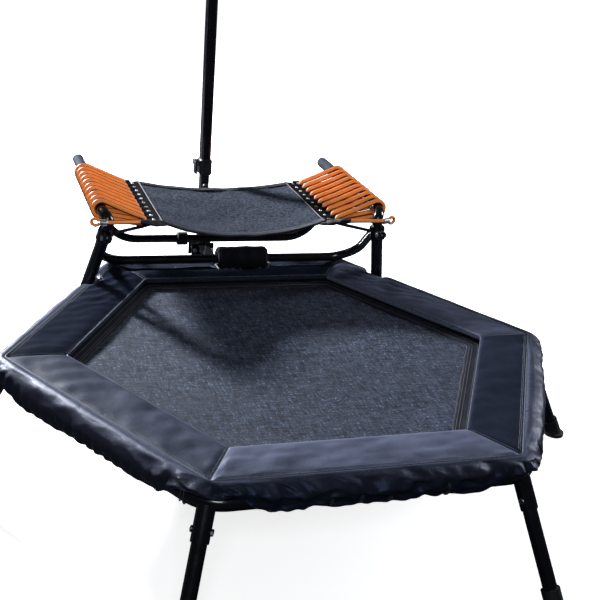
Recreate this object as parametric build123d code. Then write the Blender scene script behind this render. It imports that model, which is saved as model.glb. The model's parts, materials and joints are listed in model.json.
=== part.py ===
"""Hexagonal fitness trampoline with a bungee-hung step platform and a telescopic handlebar.

Millimetres, +Z up. The geometry is drawn about the hexagon's centre at floor level, with +X to
the right and +Y to the rear (step side). On export everything moves forward by ROW_SHIFT, which
puts the origin under the middle of the whole object's footprint.
"""
import os
from math import acos, atan2, cos, degrees, radians, sin
from build123d import *

# ---- driving dimensions -------------------------------------------------------------------
PAD_TOP = 300.0            # top of the safety pad above the floor
ROW_SHIFT = 150.0          # hexagon centre to the row's origin, along Y
SIDES = 6

FRAME_SIDE = 567.2         # hexagon centre to the centre line of a frame side
FRAME_R = 17.0
FRAME_WALL = 2.0
FRAME_BEND = 80.0          # centre-line radius of the corner bends
FRAME_Z = PAD_TOP - 39.6

LEG_SPLAY = 28.0           # degrees from vertical, outwards
LEG_R = 15.0
LEG_WALL = 1.5
SOCKET_R = 18.0
SOCKET_END = 76.0          # along the leg's axis, from the frame tube's centre
FOOT_R = 26.0

OPENING_SIDE = 441.0       # hexagon centre to the pad's inner edge
SKIRT_SIDE = 594.5
SKIRT_CORNER = 60.0
SKIRT_DROP = 75.0
COVER_THICK = 2.0
PAD_THICK = 14.0

MAT_SIDE = 413.0           # woven sheet
BORDER_SIDE = 461.0        # outside of the sewn border
MAT_Z = PAD_TOP - 25.0
CORD_R = 3.5               # jumping mat's elastic loops
LOOPS_PER_SIDE = 8
LOOP_PITCH = 60.0

RAIL_X = 375.0
RAIL_Z = PAD_TOP + 189.5
RAIL_R = 14.0
RAIL_FRONT = 436.0         # where the straight part of a rail begins
RAIL_REAR = 896.0
RAIL_CAP = 112.0
COLLAR_POINT = Vector(368.6, 400.8, PAD_TOP + 137.7)
LEG_ALONG = 180.6          # from the middle of a rear side to the step leg on it
STEP_LEG_R = 16.0
COLLAR_R = 21.0

FRONT_TUBE_R = 12.25
FRONT_TUBE_Y = 555.6
FRONT_TUBE_Z = PAD_TOP + 5.6
FRONT_TUBE_X = 370.5
FRONT_TUBE_BEND = 85.8
REAR_TUBE_R = 11.4
REAR_TUBE_Y = 746.0
REAR_TUBE_Z = PAD_TOP - 1.7
REAR_CORNER_X = 292.9
REAR_TUBE_BEND = 108.0

STRANDS = 10
STRAND_Y0 = 440.0
STRAND_PITCH = 36.0
STRAND_R = 6.2
EDGE_X = 272.0             # the rod that the strands hook round
EDGE_Z = PAD_TOP + 158.0
CORNER_CORD_R = 5.5
STRIP_IN = 222.0
STEP_SAG = 34.0

POST_LEAN = degrees(atan2(0.0896, 1.0))
POST_Y = 880.0             # post's axis at the height of the pad's top
INNER_W, INNER_D = 25.0, 39.0
OUTER_W, OUTER_D = 28.6, 42.6
SLIDE_GAP = 0.2
COLLAR_LOW, COLLAR_HIGH = 150.0, 198.0
PIN_H = 117.5
HOLE_PITCH = 50.0
HANDLE_H = 960.0
HANDLE_R = 14.0
HANDLE_LEN = 560.0

BEAM_Z = PAD_TOP - 80.0
BEAM_W, BEAM_H = 30.0, 40.0
BAR_W, BAR_H = 40.0, 30.0
BASE_PAD = 12.0
MIRROR = Plane.YZ


# ---- helpers ------------------------------------------------------------------------------
def rod(start, end, radius):
    """Solid cylinder between two points."""
    start, end = Vector(start), Vector(end)
    return extrude(Plane(origin=start, z_dir=end - start) * Circle(radius), (end - start).length)


def pipe(start, end, radius, wall):
    return rod(start, end, radius) - rod(start, end, radius - wall)


def block(low, high):
    """Axis-aligned box between two corners."""
    size = [b - a for a, b in zip(low, high)]
    return Pos(*low) * Box(*size, align=(Align.MIN, Align.MIN, Align.MIN))


def swept(path, radius):
    return sweep(Plane(origin=path @ 0, z_dir=path % 0) * Circle(radius), path=path)


def swept_pipe(path, radius, wall):
    return swept(path, radius) - swept(path, radius - wall)


def hexagon(side, corner=0.0):
    """Flat hexagon with corners on +X and -X; side is centre to flat."""
    face = RegularPolygon(side / cos(radians(30)), SIDES)
    return fillet(face.vertices(), corner) if corner else face


def hex_plate(side, low, high, corner=0.0):
    return Pos(0, 0, low) * extrude(hexagon(side, corner), high - low)


def radial(angle):
    a = radians(angle)
    return Vector(cos(a), sin(a), 0)


def both(part):
    """The part and its mirror image, as a list."""
    return [part, mirror(part, about=MIRROR)]


def group(*items):
    """One compound of every solid in the items."""
    solids = []
    for item in items:
        solids += item.solids() if hasattr(item, "solids") else group(*item).solids()
    return Compound(solids)


def bolt(point, direction, shank_r, grip, head_r, head_h):
    """Dome-headed bolt with its nut: the head's seat is at point, the shank runs along direction."""
    d = Vector(direction).normalized()
    p = Vector(point)
    body = rod(p, p + d * grip, shank_r)
    head = rod(p - d * head_h, p, head_r)
    rim = head.edges().filter_by(GeomType.CIRCLE).sort_by_distance(p - d * head_h)[0]
    head = fillet(rim, head_h * 0.6)
    face = Plane(origin=p + d * grip, z_dir=d) * RegularPolygon(head_r * 1.05, SIDES)
    return body + head + extrude(face, head_h)


# ---- trampoline frame ---------------------------------------------------------------------
APEX_R = FRAME_SIDE / cos(radians(30)) - FRAME_BEND * (1 / cos(radians(30)) - 1)


def leg_point(corner, along):
    """Point on a leg's axis, measured along it from the frame tube's centre."""
    out = radial(60 * corner)
    down = out * sin(radians(LEG_SPLAY)) - Vector(0, 0, cos(radians(LEG_SPLAY)))
    return out * APEX_R + Vector(0, 0, FRAME_Z) + down * along


LEG_END = (FRAME_Z - 8 - LEG_R * sin(radians(LEG_SPLAY))) / cos(radians(LEG_SPLAY))
BOLT_AT = 54.0


def leg_bolt_hole(corner):
    side = radial(60 * corner + 90) * 40
    at = leg_point(corner, BOLT_AT)
    return rod(at - side, at + side, 3.2)


def hex_frame():
    path = Pos(0, 0, FRAME_Z) * hexagon(FRAME_SIDE, FRAME_BEND).face().outer_wire()
    body = swept(path, FRAME_R)
    for corner in range(SIDES):
        body += rod(leg_point(corner, 6), leg_point(corner, SOCKET_END), SOCKET_R)
    for corner in range(SIDES):
        bore_end = leg_point(corner, SOCKET_END + 5)
        body -= rod(leg_point(corner, 20), bore_end, LEG_R + SLIDE_GAP)
        body -= leg_bolt_hole(corner)
    return body - swept(path, FRAME_R - FRAME_WALL)


def frame_leg(corner):
    tube = pipe(leg_point(corner, 24), leg_point(corner, LEG_END), LEG_R, LEG_WALL)
    return tube - leg_bolt_hole(corner)


def leg_bolt(corner):
    side = radial(60 * corner + 90)
    at = leg_point(corner, BOLT_AT) - side * (SOCKET_R + 0.1)
    return bolt(at, side, 3.0, 2 * SOCKET_R + 0.2, 6.5, 4.0)


def rubber_foot(corner):
    sleeve = rod(leg_point(corner, LEG_END - 34), leg_point(corner, LEG_END + 40), LEG_R + 5)
    floor_at = leg_point(corner, (FRAME_Z - 4) / cos(radians(LEG_SPLAY)))
    disc = Pos(floor_at.X, floor_at.Y, 0) * Cylinder(
        FOOT_R, 9, align=(Align.CENTER, Align.CENTER, Align.MIN))
    foot = (sleeve + disc) & block((-2000, -2000, 0), (2000, 2000, 400))
    return foot - rod(leg_point(corner, 20), leg_point(corner, LEG_END), LEG_R)


# ---- jumping mat --------------------------------------------------------------------------
RING_R, RING_WIRE = 9.0, 2.0
RING_SIDE = BORDER_SIDE + RING_R + RING_WIRE + 0.3


def jump_mat():
    return hex_plate(MAT_SIDE, MAT_Z - 2, MAT_Z, 20)


def mat_border():
    ring = hex_plate(BORDER_SIDE, MAT_Z - 3, MAT_Z + 1, 30)
    return ring - hex_plate(MAT_SIDE, MAT_Z - 4, MAT_Z + 2, 20)


def along_sides(part):
    """Copies of a part drawn at the middle of the side that faces +X', at every loop's place."""
    places = []
    for side in range(SIDES):
        for i in range(LOOPS_PER_SIDE):
            offset = (i - (LOOPS_PER_SIDE - 1) / 2) * LOOP_PITCH
            places.append(Rot(0, 0, 30 + 60 * side) * Pos(0, offset, 0) * part)
    return group(*places)


def mat_rings():
    ring = Pos(RING_SIDE, 0, MAT_Z - 1) * Torus(RING_R, RING_WIRE)
    return along_sides(ring)


def loop_path(big, big_r, small, small_r):
    """Closed path in the XZ plane round two circles, each given as (x, z) and a radius."""
    along = Vector(small[0] - big[0], 0, small[1] - big[1])
    spread = degrees(acos((big_r - small_r) / along.length))
    centres = [Vector(big[0], 0, big[1]), Vector(small[0], 0, small[1])]
    ahead = along.normalized()
    up, down = [ahead.rotate(Axis.Y, sign * spread) for sign in (1, -1)]
    big_up, big_down = centres[0] + up * big_r, centres[0] + down * big_r
    small_up, small_down = centres[1] + up * small_r, centres[1] + down * small_r
    edges = [Line(big_up, small_up),
             ThreePointArc(small_up, centres[1] + ahead * small_r, small_down),
             Line(small_down, big_down),
             ThreePointArc(big_down, centres[0] - ahead * big_r, big_up)]
    return Wire([e.edge() for e in edges])


def mat_loops():
    hook = (RING_SIDE + RING_R, MAT_Z - 1)
    gap = CORD_R + 0.2
    path = loop_path((FRAME_SIDE, FRAME_Z), FRAME_R + gap, hook, RING_WIRE + gap)
    return along_sides(swept(path, CORD_R))


# ---- pad ----------------------------------------------------------------------------------
LEG_FOOT = radial(30) * FRAME_SIDE + radial(120) * LEG_ALONG + Vector(0, 0, PAD_TOP)


def step_leg_notch():
    """Room in the pad round the foot of the right step leg, open to the outside."""
    plane = Plane(origin=(LEG_FOOT.X, LEG_FOOT.Y, 0), x_dir=radial(30), z_dir=(0, 0, 1))
    hole = Pos(30, 0, 200) * Box(110, 56, 110, align=(Align.CENTER, Align.CENTER, Align.MIN))
    return plane * hole


def pad_clearance():
    """Everything that the cover and its foam have to leave room for."""
    front_tube = swept(front_tube_path(), FRONT_TUBE_R + 1.5)
    clamp = block((-CLAMP_HALF - 1, 525, 180), (CLAMP_HALF + 1, 640, 340))
    return [front_tube, clamp, sleeve_rod(SLEEVE_R + 1.5, 2), *both(step_leg_notch())]


def pad_foam():
    ring = hex_plate(FRAME_SIDE + 10, PAD_TOP - PAD_THICK + 0.5, PAD_TOP - COVER_THICK - 0.3)
    ring -= hex_plate(OPENING_SIDE + 4, 0, 400)
    for corner in range(SIDES):
        gap = Pos(300, 0, 300) * Box(900, 8, 100, align=(Align.MIN, Align.CENTER, Align.CENTER))
        ring -= Rot(0, 0, 60 * corner) * gap
    for part in pad_clearance():
        ring -= part
    return ring


def pad_cover():
    low = PAD_TOP - SKIRT_DROP
    body = hex_plate(SKIRT_SIDE, low, PAD_TOP, SKIRT_CORNER)
    inside = SKIRT_SIDE - COVER_THICK
    body -= hex_plate(inside, low - 1, PAD_TOP - COVER_THICK, SKIRT_CORNER - COVER_THICK)
    body += hex_plate(OPENING_SIDE + COVER_THICK, PAD_TOP - PAD_THICK, PAD_TOP)
    body -= hex_plate(OPENING_SIDE, low - 1, PAD_TOP + 1)
    for corner in range(SIDES):
        bare = Pos(APEX_R - 25, 0, low - 1) * Box(
            150, 130, SKIRT_DROP - PAD_THICK - 1, align=(Align.MIN, Align.CENTER, Align.MIN))
        body -= Rot(0, 0, 60 * corner) * bare
    for part in pad_clearance():
        body -= part
    return body


def skirt_elastic():
    path = Pos(0, 0, PAD_TOP - 70) * hexagon(572, 165).face().outer_wire()
    return swept(path, 2.0)


# ---- step frame ---------------------------------------------------------------------------
LEG_AXIS = (LEG_FOOT - COLLAR_POINT).normalized()      # down the right step leg


def rail_path():
    straight = Line((RAIL_X, RAIL_REAR, RAIL_Z), (RAIL_X, RAIL_FRONT, RAIL_Z))
    stub_top = COLLAR_POINT - LEG_AXIS * 20
    bend = Bezier(straight @ 1, straight @ 1 + Vector(0, -34, 0),
                  stub_top - LEG_AXIS * 26, stub_top)
    stub = Line(stub_top, COLLAR_POINT + LEG_AXIS * 45)
    return Wire([straight.edge(), bend.edge(), stub.edge()])


def step_rail():
    return swept_pipe(rail_path(), RAIL_R, 1.5)


def rail_end_cap():
    y_end = RAIL_REAR + 12
    cap = rod((RAIL_X, y_end - RAIL_CAP, RAIL_Z), (RAIL_X, y_end, RAIL_Z), RAIL_R + 1.6)
    cap = fillet(cap.edges().sort_by(Axis.Y)[-1], 9)
    inside = rod((RAIL_X, y_end - RAIL_CAP - 1, RAIL_Z), (RAIL_X, RAIL_REAR, RAIL_Z), RAIL_R)
    return cap - inside


def leg_plane(shift):
    """Section plane across the frame tube under the right step leg: x outwards, y up."""
    side = radial(120)
    origin = Vector(LEG_FOOT.X, LEG_FOOT.Y, FRAME_Z) + side * shift
    return Plane(origin=origin, x_dir=radial(30), z_dir=side * -1)


CLAMP_LEN = 40.0
CLAMP_R = FRAME_R + 4.0
EAR = 16.0


def half_clamp(upper):
    """Half of the two-piece clamp round the frame tube, with bolt ears."""
    sign = 1 if upper else -1
    shell = Circle(CLAMP_R) + Pos(0, sign * 2.5) * Rectangle(2 * (CLAMP_R + EAR), 4)
    shell -= Circle(FRAME_R + 0.05)
    shell &= Pos(0, sign * 25.5) * Rectangle(200, 50)
    part = extrude(leg_plane(CLAMP_LEN / 2) * shell, CLAMP_LEN)
    for out in (-1, 1):
        centre = leg_plane(0).from_local_coords(Vector(out * (CLAMP_R + EAR / 2), 0, 0))
        part -= rod(centre - Vector(0, 0, 30), centre + Vector(0, 0, 30), 3.3)
    return part


def step_leg():
    bottom = LEG_FOOT + LEG_AXIS * 32
    leg = rod(COLLAR_POINT, bottom, STEP_LEG_R)
    plane = leg_plane(60)
    leg -= extrude(plane * Circle(CLAMP_R - 1), 120)
    leg += half_clamp(True)
    bore_end = LEG_FOOT + LEG_AXIS * 8
    return leg - rod(COLLAR_POINT - LEG_AXIS, bore_end, RAIL_R + SLIDE_GAP)


def clamp_bolts():
    bolts = []
    for out in (-1, 1):
        centre = Vector(LEG_FOOT.X, LEG_FOOT.Y, FRAME_Z) + radial(30) * (out * (CLAMP_R + EAR / 2))
        bolts.append(bolt(centre + Vector(0, 0, 4.6), (0, 0, -1), 3.0, 9.2, 6.0, 4.0))
    return bolts


def leg_collar():
    low, high = COLLAR_POINT + LEG_AXIS * 18, COLLAR_POINT - LEG_AXIS * 10
    ring = rod(low, high, COLLAR_R)
    ears = Pos(*(COLLAR_POINT + LEG_AXIS * 4 + Vector(0, -COLLAR_R - 3, 0))) * Box(20, 20, 20)
    ring += ears
    ring -= rod(low + LEG_AXIS * 20, COLLAR_POINT, STEP_LEG_R + 0.05)
    ring -= rod(COLLAR_POINT + LEG_AXIS * 10, high - LEG_AXIS * 20, RAIL_R + 0.3)
    at = COLLAR_POINT + LEG_AXIS * 4 + Vector(0, -COLLAR_R - 6, 0)
    ring -= Pos(*at) * Box(3, 30, 60)
    return ring - rod(at - Vector(30, 0, 0), at + Vector(30, 0, 0), 3.2)


def collar_bolt():
    at = COLLAR_POINT + LEG_AXIS * 4 + Vector(-10.1, -COLLAR_R - 6, 0)
    return bolt(at, (1, 0, 0), 3.0, 20.2, 6.5, 4.5)


def front_tube_path():
    rise = RAIL_Z - PAD_TOP - 55
    top = (FRONT_TUBE_X, FRONT_TUBE_Y - 1.02 * rise, FRONT_TUBE_Z + rise)
    corner = (FRONT_TUBE_X, FRONT_TUBE_Y, FRONT_TUBE_Z)
    left = [(-x, y, z) for x, y, z in (corner, top)]
    return FilletPolyline(top, corner, *left, radius=FRONT_TUBE_BEND).wire()


def front_cross_tube():
    tube = swept_pipe(front_tube_path(), FRONT_TUBE_R, 1.5)
    leg = rod(COLLAR_POINT - LEG_AXIS * 80, COLLAR_POINT + LEG_AXIS * 80, COLLAR_R + 0.02)
    for part in both(leg):
        tube -= part
    return tube.solids().sort_by(SortBy.VOLUME)[-1]


def rear_tube_path():
    y, z = REAR_TUBE_Y, REAR_TUBE_Z
    points = [(RAIL_X, y, RAIL_Z), (REAR_CORNER_X, y, z)]
    points += [(-a, b, c) for a, b, c in reversed(points)]
    return FilletPolyline(*points, radius=REAR_TUBE_BEND).wire()


def rear_cross_tube():
    tube = swept_pipe(rear_tube_path(), REAR_TUBE_R, 1.5)
    rail = rod((RAIL_X, 600, RAIL_Z), (RAIL_X, 850, RAIL_Z), RAIL_R + 0.02)
    for part in both(rail):
        tube -= part
    return tube.solids().sort_by(SortBy.VOLUME)[-1]


def cross_tube_ring():
    ring = rod((-106, REAR_TUBE_Y, REAR_TUBE_Z), (-76, REAR_TUBE_Y, REAR_TUBE_Z), 19)
    ring = fillet(ring.edges(), 3)
    bore_ends = [(x, REAR_TUBE_Y, REAR_TUBE_Z) for x in (-110, -70)]
    return ring - rod(*bore_ends, REAR_TUBE_R + 0.05)


# ---- step mat and its cords ---------------------------------------------------------------
STRIP_LOW_Y = STRAND_Y0 - 18
STRIP_HIGH_Y = STRAND_Y0 + (STRANDS - 1) * STRAND_PITCH + 18
STRIP_THICK = 3.0


def step_mat():
    z = EDGE_Z - STRIP_THICK / 2
    low = ThreePointArc((-STRIP_IN, z), (0, z - STEP_SAG), (STRIP_IN, z))
    high = ThreePointArc((STRIP_IN, z + STRIP_THICK), (0, z + STRIP_THICK - STEP_SAG),
                         (-STRIP_IN, z + STRIP_THICK))
    ends = [Line(low @ 1, high @ 0), Line(high @ 1, low @ 0)]
    face = make_face([low.edge(), ends[0].edge(), high.edge(), ends[1].edge()])
    sheet = extrude(Plane.XZ * face, -(STRIP_HIGH_Y - STRIP_LOW_Y))
    return Pos(0, STRIP_LOW_Y, 0) * sheet


def edge_strip():
    z = EDGE_Z - STRIP_THICK / 2
    strip = block((STRIP_IN, STRIP_LOW_Y, z), (256.5, STRIP_HIGH_Y, z + STRIP_THICK))
    for i in range(STRANDS + 1):
        y = STRAND_Y0 + (i - 0.5) * STRAND_PITCH
        finger = block((256, y - 9, EDGE_Z - 4), (EDGE_X + 5, y + 9, EDGE_Z + 4))
        strip += finger
    rod_hole = rod((EDGE_X, STRIP_LOW_Y - 20, EDGE_Z), (EDGE_X, STRIP_HIGH_Y + 20, EDGE_Z), 2.05)
    return strip - rod_hole


def edge_rod():
    return rod((EDGE_X, STRIP_LOW_Y - 8, EDGE_Z), (EDGE_X, STRIP_HIGH_Y + 8, EDGE_Z), 2.0)


def strip_rivets():
    rivets = []
    for i in range(STRANDS):
        y = STRAND_Y0 + i * STRAND_PITCH
        z = EDGE_Z + STRIP_THICK / 2 + 0.02
        head = rod((240, y, z), (240, y, z + 2), 4)
        rivets.append(fillet(head.edges().sort_by(Axis.Z)[-1], 1.5))
    return rivets


def step_strands():
    gap = STRAND_R + 0.15
    path = loop_path((RAIL_X, RAIL_Z), RAIL_R + gap, (EDGE_X, EDGE_Z), 2.0 + gap)
    one = swept(path, STRAND_R)
    return [Pos(0, STRAND_Y0 + i * STRAND_PITCH, 0) * one for i in range(STRANDS)]


CORNER = Vector(262, 399, PAD_TOP + 166)
CORD_TURN = Vector(355, 371, PAD_TOP + 176)
CORD_END = Vector(384, 376, PAD_TOP + 175)


def corner_cord():
    path = Spline(CORNER, CORD_TURN, CORD_END, tangents=[CORD_TURN - CORNER, (1, 0.35, 0)])
    straight = swept(Wire([path.edge()]), CORNER_CORD_R)
    eye = Plane(origin=CORD_END + Vector(14, 5, 0), z_dir=(0.3, -1, 0)) * Torus(9, 4.4)
    return [straight, eye - rod(CORD_END - Vector(20, 7, 0), CORD_END + Vector(5, 1.75, 0), 9)]


def corner_crimp():
    away = Vector(1, 0.35, 0).normalized()
    sleeve = rod(CORD_END - away * 16, CORD_END + away * 3, 8)
    sleeve = fillet(sleeve.edges(), 1.5)
    for part in corner_cord():
        sleeve -= part
    return sleeve


def corner_strap():
    """Flat webbing from the mat's front corner down to the collar."""
    start = Vector(262, 409.5, PAD_TOP + 153)
    end = COLLAR_POINT + Vector(-COLLAR_R - 5, -6, 2)
    plane = Plane(origin=start, x_dir=(0, 0.2, 1), z_dir=end - start)
    return extrude(plane * Rectangle(9, 2.4), (end - start).length)


# ---- centre beam, clamp and sleeve --------------------------------------------------------
CLAMP_HALF = 25.0
SPLIT_Y = 561.4
CLAMP_SCREW_Z = PAD_TOP - 14.6
CLAMP_STEP_Z = PAD_TOP - 24.5      # the clamp is wide below this and slim inside the sleeve above
SLIM_FRONT, SLIM_REAR = 541.4, 577.4
SLEEVE_R = 29.0
SLEEVE_X = (-34.0, 108.0)


def tube_block():
    body = block((-CLAMP_HALF, 538, FRAME_Z - 22), (CLAMP_HALF, 590, CLAMP_STEP_Z))
    body += block((-CLAMP_HALF, SLIM_FRONT, FRAME_Z), (CLAMP_HALF, SLIM_REAR, PAD_TOP + 20))
    body -= rod((-200, FRAME_SIDE, FRAME_Z), (200, FRAME_SIDE, FRAME_Z), FRAME_R + 0.05)
    body -= rod((-200, FRONT_TUBE_Y, FRONT_TUBE_Z), (200, FRONT_TUBE_Y, FRONT_TUBE_Z),
                FRONT_TUBE_R + 0.05)
    for x in (14 - CLAMP_HALF, CLAMP_HALF - 14):
        body -= rod((x, 500, CLAMP_SCREW_Z), (x, 620, CLAMP_SCREW_Z), 3.3)
    return body


def clamp_front():
    return tube_block() & block((-100, 500, 100), (200, SPLIT_Y - 0.5, 400))


def clamp_rear():
    return tube_block() & block((-100, SPLIT_Y + 0.5, 100), (200, 620, 400))


def clamp_screws():
    screws = []
    for x in (14 - CLAMP_HALF, CLAMP_HALF - 14):
        grip = SLIM_REAR - SLIM_FRONT + 0.2
        screws.append(bolt((x, SLIM_FRONT - 0.1, CLAMP_SCREW_Z), (0, 1, 0), 3.0, grip, 5.5, 4.0))
    return screws


def sleeve_rod(radius, extra=0.0):
    """Cylinder on the front cross tube's axis, over the sleeve's length."""
    low, high = SLEEVE_X[0] - extra, SLEEVE_X[1] + extra
    return rod((low, FRONT_TUBE_Y, FRONT_TUBE_Z), (high, FRONT_TUBE_Y, FRONT_TUBE_Z), radius)


def clamp_sleeve():
    """Padded wrap over the clamp and the front cross tube, sunk into a gap in the pad."""
    body = fillet(sleeve_rod(SLEEVE_R).edges(), 4)
    room = CLAMP_HALF + 0.5
    body -= block((-room, SLIM_FRONT - 5.5, 200), (room, SLIM_REAR + 5.5, PAD_TOP + 5))
    body -= block((-room, SLIM_FRONT - 0.6, 200), (room, SLIM_REAR + 0.6, PAD_TOP + 20.6))
    loop_top = FRAME_Z + FRAME_R + 2 * CORD_R + 1.2
    body -= block((-200, 400, 0), (200, 700, loop_top))
    return body - sleeve_rod(FRONT_TUBE_R + 0.8, 10)


# ---- handlebar post -----------------------------------------------------------------------
POST = Plane(origin=(0, POST_Y, PAD_TOP), x_dir=(1, 0, 0),
             z_dir=(0, sin(radians(POST_LEAN)), cos(radians(POST_LEAN))))
BASE_H = -265.0
POST_BOLT_H = PIN_H - 3 * HOLE_PITCH
BEAM_TOP = BEAM_Z + BEAM_H / 2
BRACKET_H = BEAM_Z - PAD_TOP


def post_point(x, y, height):
    """Point given across, along and up the leaning post."""
    return POST.from_local_coords(Vector(x, y, height))


def post_bar(width, depth, low, high, corner):
    """Upright rounded bar in the post's leaning frame, between two heights along its axis."""
    bar = extrude(RectangleRounded(width, depth, corner), high - low)
    return POST * Pos(0, 0, low) * bar


def post_pin(x, height, radius, front=-40.0, rear=40.0):
    """Cylinder through the post from front to rear."""
    return rod(post_point(x, front, height), post_point(x, rear, height), radius)


def lower_post():
    tube = post_bar(INNER_W, INNER_D, BASE_H, 560, 6)
    tube -= post_bar(INNER_W - 4, INNER_D - 4, BASE_H - 1, 561, 4)
    for i in range(-1, 9):
        tube -= post_pin(0, PIN_H + i * HOLE_PITCH, 4.1)
    return tube - post_pin(0, POST_BOLT_H, 4.1) - side_hole(BASE_H + 28)


def side_hole(height):
    return rod(post_point(-45, 0, height), post_point(45, 0, height), 3.3)


def handle_rod(radius, low, high):
    centre = post_point(0, 0, HANDLE_H)
    return rod((low, centre.Y, centre.Z), (high, centre.Y, centre.Z), radius)


def upper_post():
    tube = post_bar(OUTER_W, OUTER_D, COLLAR_LOW + 6, HANDLE_H, 7)
    tube -= post_bar(INNER_W + 2 * SLIDE_GAP, INNER_D + 2 * SLIDE_GAP, 0, HANDLE_H + 1, 6)
    tube -= handle_rod(HANDLE_R + 0.02, -100, 100)
    return tube.solids().sort_by(SortBy.VOLUME)[-1]


LEVER_X = -(OUTER_W / 2 + 12.0)
LEVER_H = COLLAR_HIGH - 12.0


def pivot(radius, half):
    """Cylinder on the lever's pivot axis, which runs front to rear."""
    return post_pin(LEVER_X, LEVER_H, radius, -half, half)


def post_collar():
    body = post_bar(OUTER_W + 8, OUTER_D + 8, COLLAR_LOW, COLLAR_HIGH, 10)
    body = chamfer(body.faces().sort_by(Axis.Z)[-1].edges(), 3)
    body = chamfer(body.faces().sort_by(Axis.Z)[0].edges(), 5)
    for y in (-17, 17):
        lug = Pos(LEVER_X / 2 - 6, y, LEVER_H) * Box(-LEVER_X, 5, 14)
        body += POST * lug
    body -= post_bar(OUTER_W + 0.04, OUTER_D + 0.04, COLLAR_LOW + 6, 400, 7)
    body -= post_bar(INNER_W + 2 * SLIDE_GAP, INNER_D + 2 * SLIDE_GAP, 0, 400, 6)
    return body - pivot(2.5, 40)


def clamp_lever():
    arm = Pos(LEVER_X - 1.5, 0, LEVER_H - 15) * Box(7, 28, 36)
    arm = fillet((POST * arm).edges(), 2)
    arm += pivot(5.5, 14)
    return arm - pivot(2.55, 40)


def lever_pin():
    return pivot(2.48, 20.5)


def stop_pin():
    seat = -INNER_D / 2 - 0.2
    head = post_pin(0, PIN_H, 9.0, seat - 12, seat)
    rim = head.edges().filter_by(GeomType.CIRCLE).sort_by(Axis.Y)[0]
    return fillet(rim, 5) + post_pin(0, PIN_H, 4.0, seat - 1, -seat + 5)


def post_bolt():
    front = post_point(0, -INNER_D / 2 - 0.1, POST_BOLT_H)
    return bolt(front, POST.y_dir, 4.0, INNER_D + 0.2, 7.5, 5.0)


PLATE_X = 34.0


def bracket_plate(y_low, y_high):
    plate = Pos(0, (y_low + y_high) / 2, BRACKET_H) * Box(2 * PLATE_X, y_high - y_low, 44)
    plate = POST * plate
    for x in (-24, 24):
        plate -= post_pin(x, BRACKET_H, 4.1)
    return plate


def centre_beam():
    """Square tube from the frame clamp back to the post, with the post's front plate welded on."""
    front = INNER_D / 2
    plate = bracket_plate(-front - 5.1, -front - 0.1)
    y_far = post_point(0, -front - 2, BRACKET_H).Y
    outer = block((-BEAM_W / 2, 590.1, BEAM_Z - BEAM_H / 2), (BEAM_W / 2, y_far, BEAM_TOP))
    lug = block((-BEAM_W / 2, 590.1, BEAM_TOP - 1), (BEAM_W / 2, 596, CLAMP_SCREW_Z - 6))
    rear_cut = POST * Pos(0, -front - 0.1 + 50, BRACKET_H) * Box(200, 100, 200)
    body = (outer + lug - rear_cut) + plate
    inner = block((-BEAM_W / 2 + 2, 592.1, BEAM_Z - BEAM_H / 2 + 2),
                  (BEAM_W / 2 - 2, y_far - 12, BEAM_TOP - 2))
    return body - inner


def rear_plate():
    return bracket_plate(INNER_D / 2 + 0.1, INNER_D / 2 + 5.1)


def bracket_bolts():
    front = -INNER_D / 2 - 5.2
    bolts = []
    for x in (-24, 24):
        at = post_point(x, front, BRACKET_H)
        bolts.append(bolt(at, POST.y_dir, 4.0, -2 * front, 7.0, 5.0))
    return bolts


FRONT_FOOT_Y = leg_point(4, (FRAME_Z - 4) / cos(radians(LEG_SPLAY))).Y - FOOT_R
BASE_REAR = 2 * ROW_SHIFT - FRONT_FOOT_Y       # keeps the origin midway between front and rear
BAR_LEN = 560.0


def base_stand():
    """T-shaped floor stand with a leaning socket for the post."""
    low, high = BASE_PAD, BASE_PAD + BAR_H
    bar = block((-BAR_LEN / 2, BASE_REAR - BAR_W, low), (BAR_LEN / 2, BASE_REAR, high))
    spine = block((-BAR_W / 2, 780, low), (BAR_W / 2, BASE_REAR - BAR_W + 1, high))
    socket = post_bar(INNER_W + 8, INNER_D + 8, BASE_H + 1, BASE_H + 70, 8)
    body = bar + spine + socket
    body -= post_bar(INNER_W + 2 * SLIDE_GAP, INNER_D + 2 * SLIDE_GAP, BASE_H, 0, 6)
    hollow = block((-BAR_LEN / 2 - 1, BASE_REAR - BAR_W + 2, low + 2),
                   (BAR_LEN / 2 + 1, BASE_REAR - 2, high - 2))
    return body - hollow - side_hole(BASE_H + 28)


def base_bolt():
    at = post_point(-INNER_W / 2 - 4.1, 0, BASE_H + 28)
    return bolt(at, (1, 0, 0), 3.0, INNER_W + 8.2, 6.5, 4.0)


def base_pads():
    pads = []
    for x in (-BAR_LEN / 2 + 30, BAR_LEN / 2 - 30):
        pads.append(block((x - 26, BASE_REAR - BAR_W + 2, 0), (x + 26, BASE_REAR - 2, BASE_PAD)))
    pads.append(block((-18, 784, 0), (18, 836, BASE_PAD)))
    return pads


def base_plugs():
    """Square caps pushed into the ends of the floor bar."""
    low, high = BASE_PAD + 2, BASE_PAD + BAR_H - 2
    inner = block((BAR_LEN / 2 - 14, BASE_REAR - BAR_W + 2, low), (BAR_LEN / 2, BASE_REAR - 2, high))
    face = block((BAR_LEN / 2, BASE_REAR - BAR_W, low - 2), (BAR_LEN / 2 + 4, BASE_REAR, high + 2))
    return both(inner + face)


def handle_bar():
    half = HANDLE_LEN / 2
    return handle_rod(HANDLE_R, -half, half) - handle_rod(HANDLE_R - 2, -half - 1, half + 1)


def foam_grip():
    half = HANDLE_LEN / 2
    grip = handle_rod(HANDLE_R + 5, half - 150, half - 2)
    return fillet(grip.edges(), 3) - handle_rod(HANDLE_R + 0.02, 0, half + 10)


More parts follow.
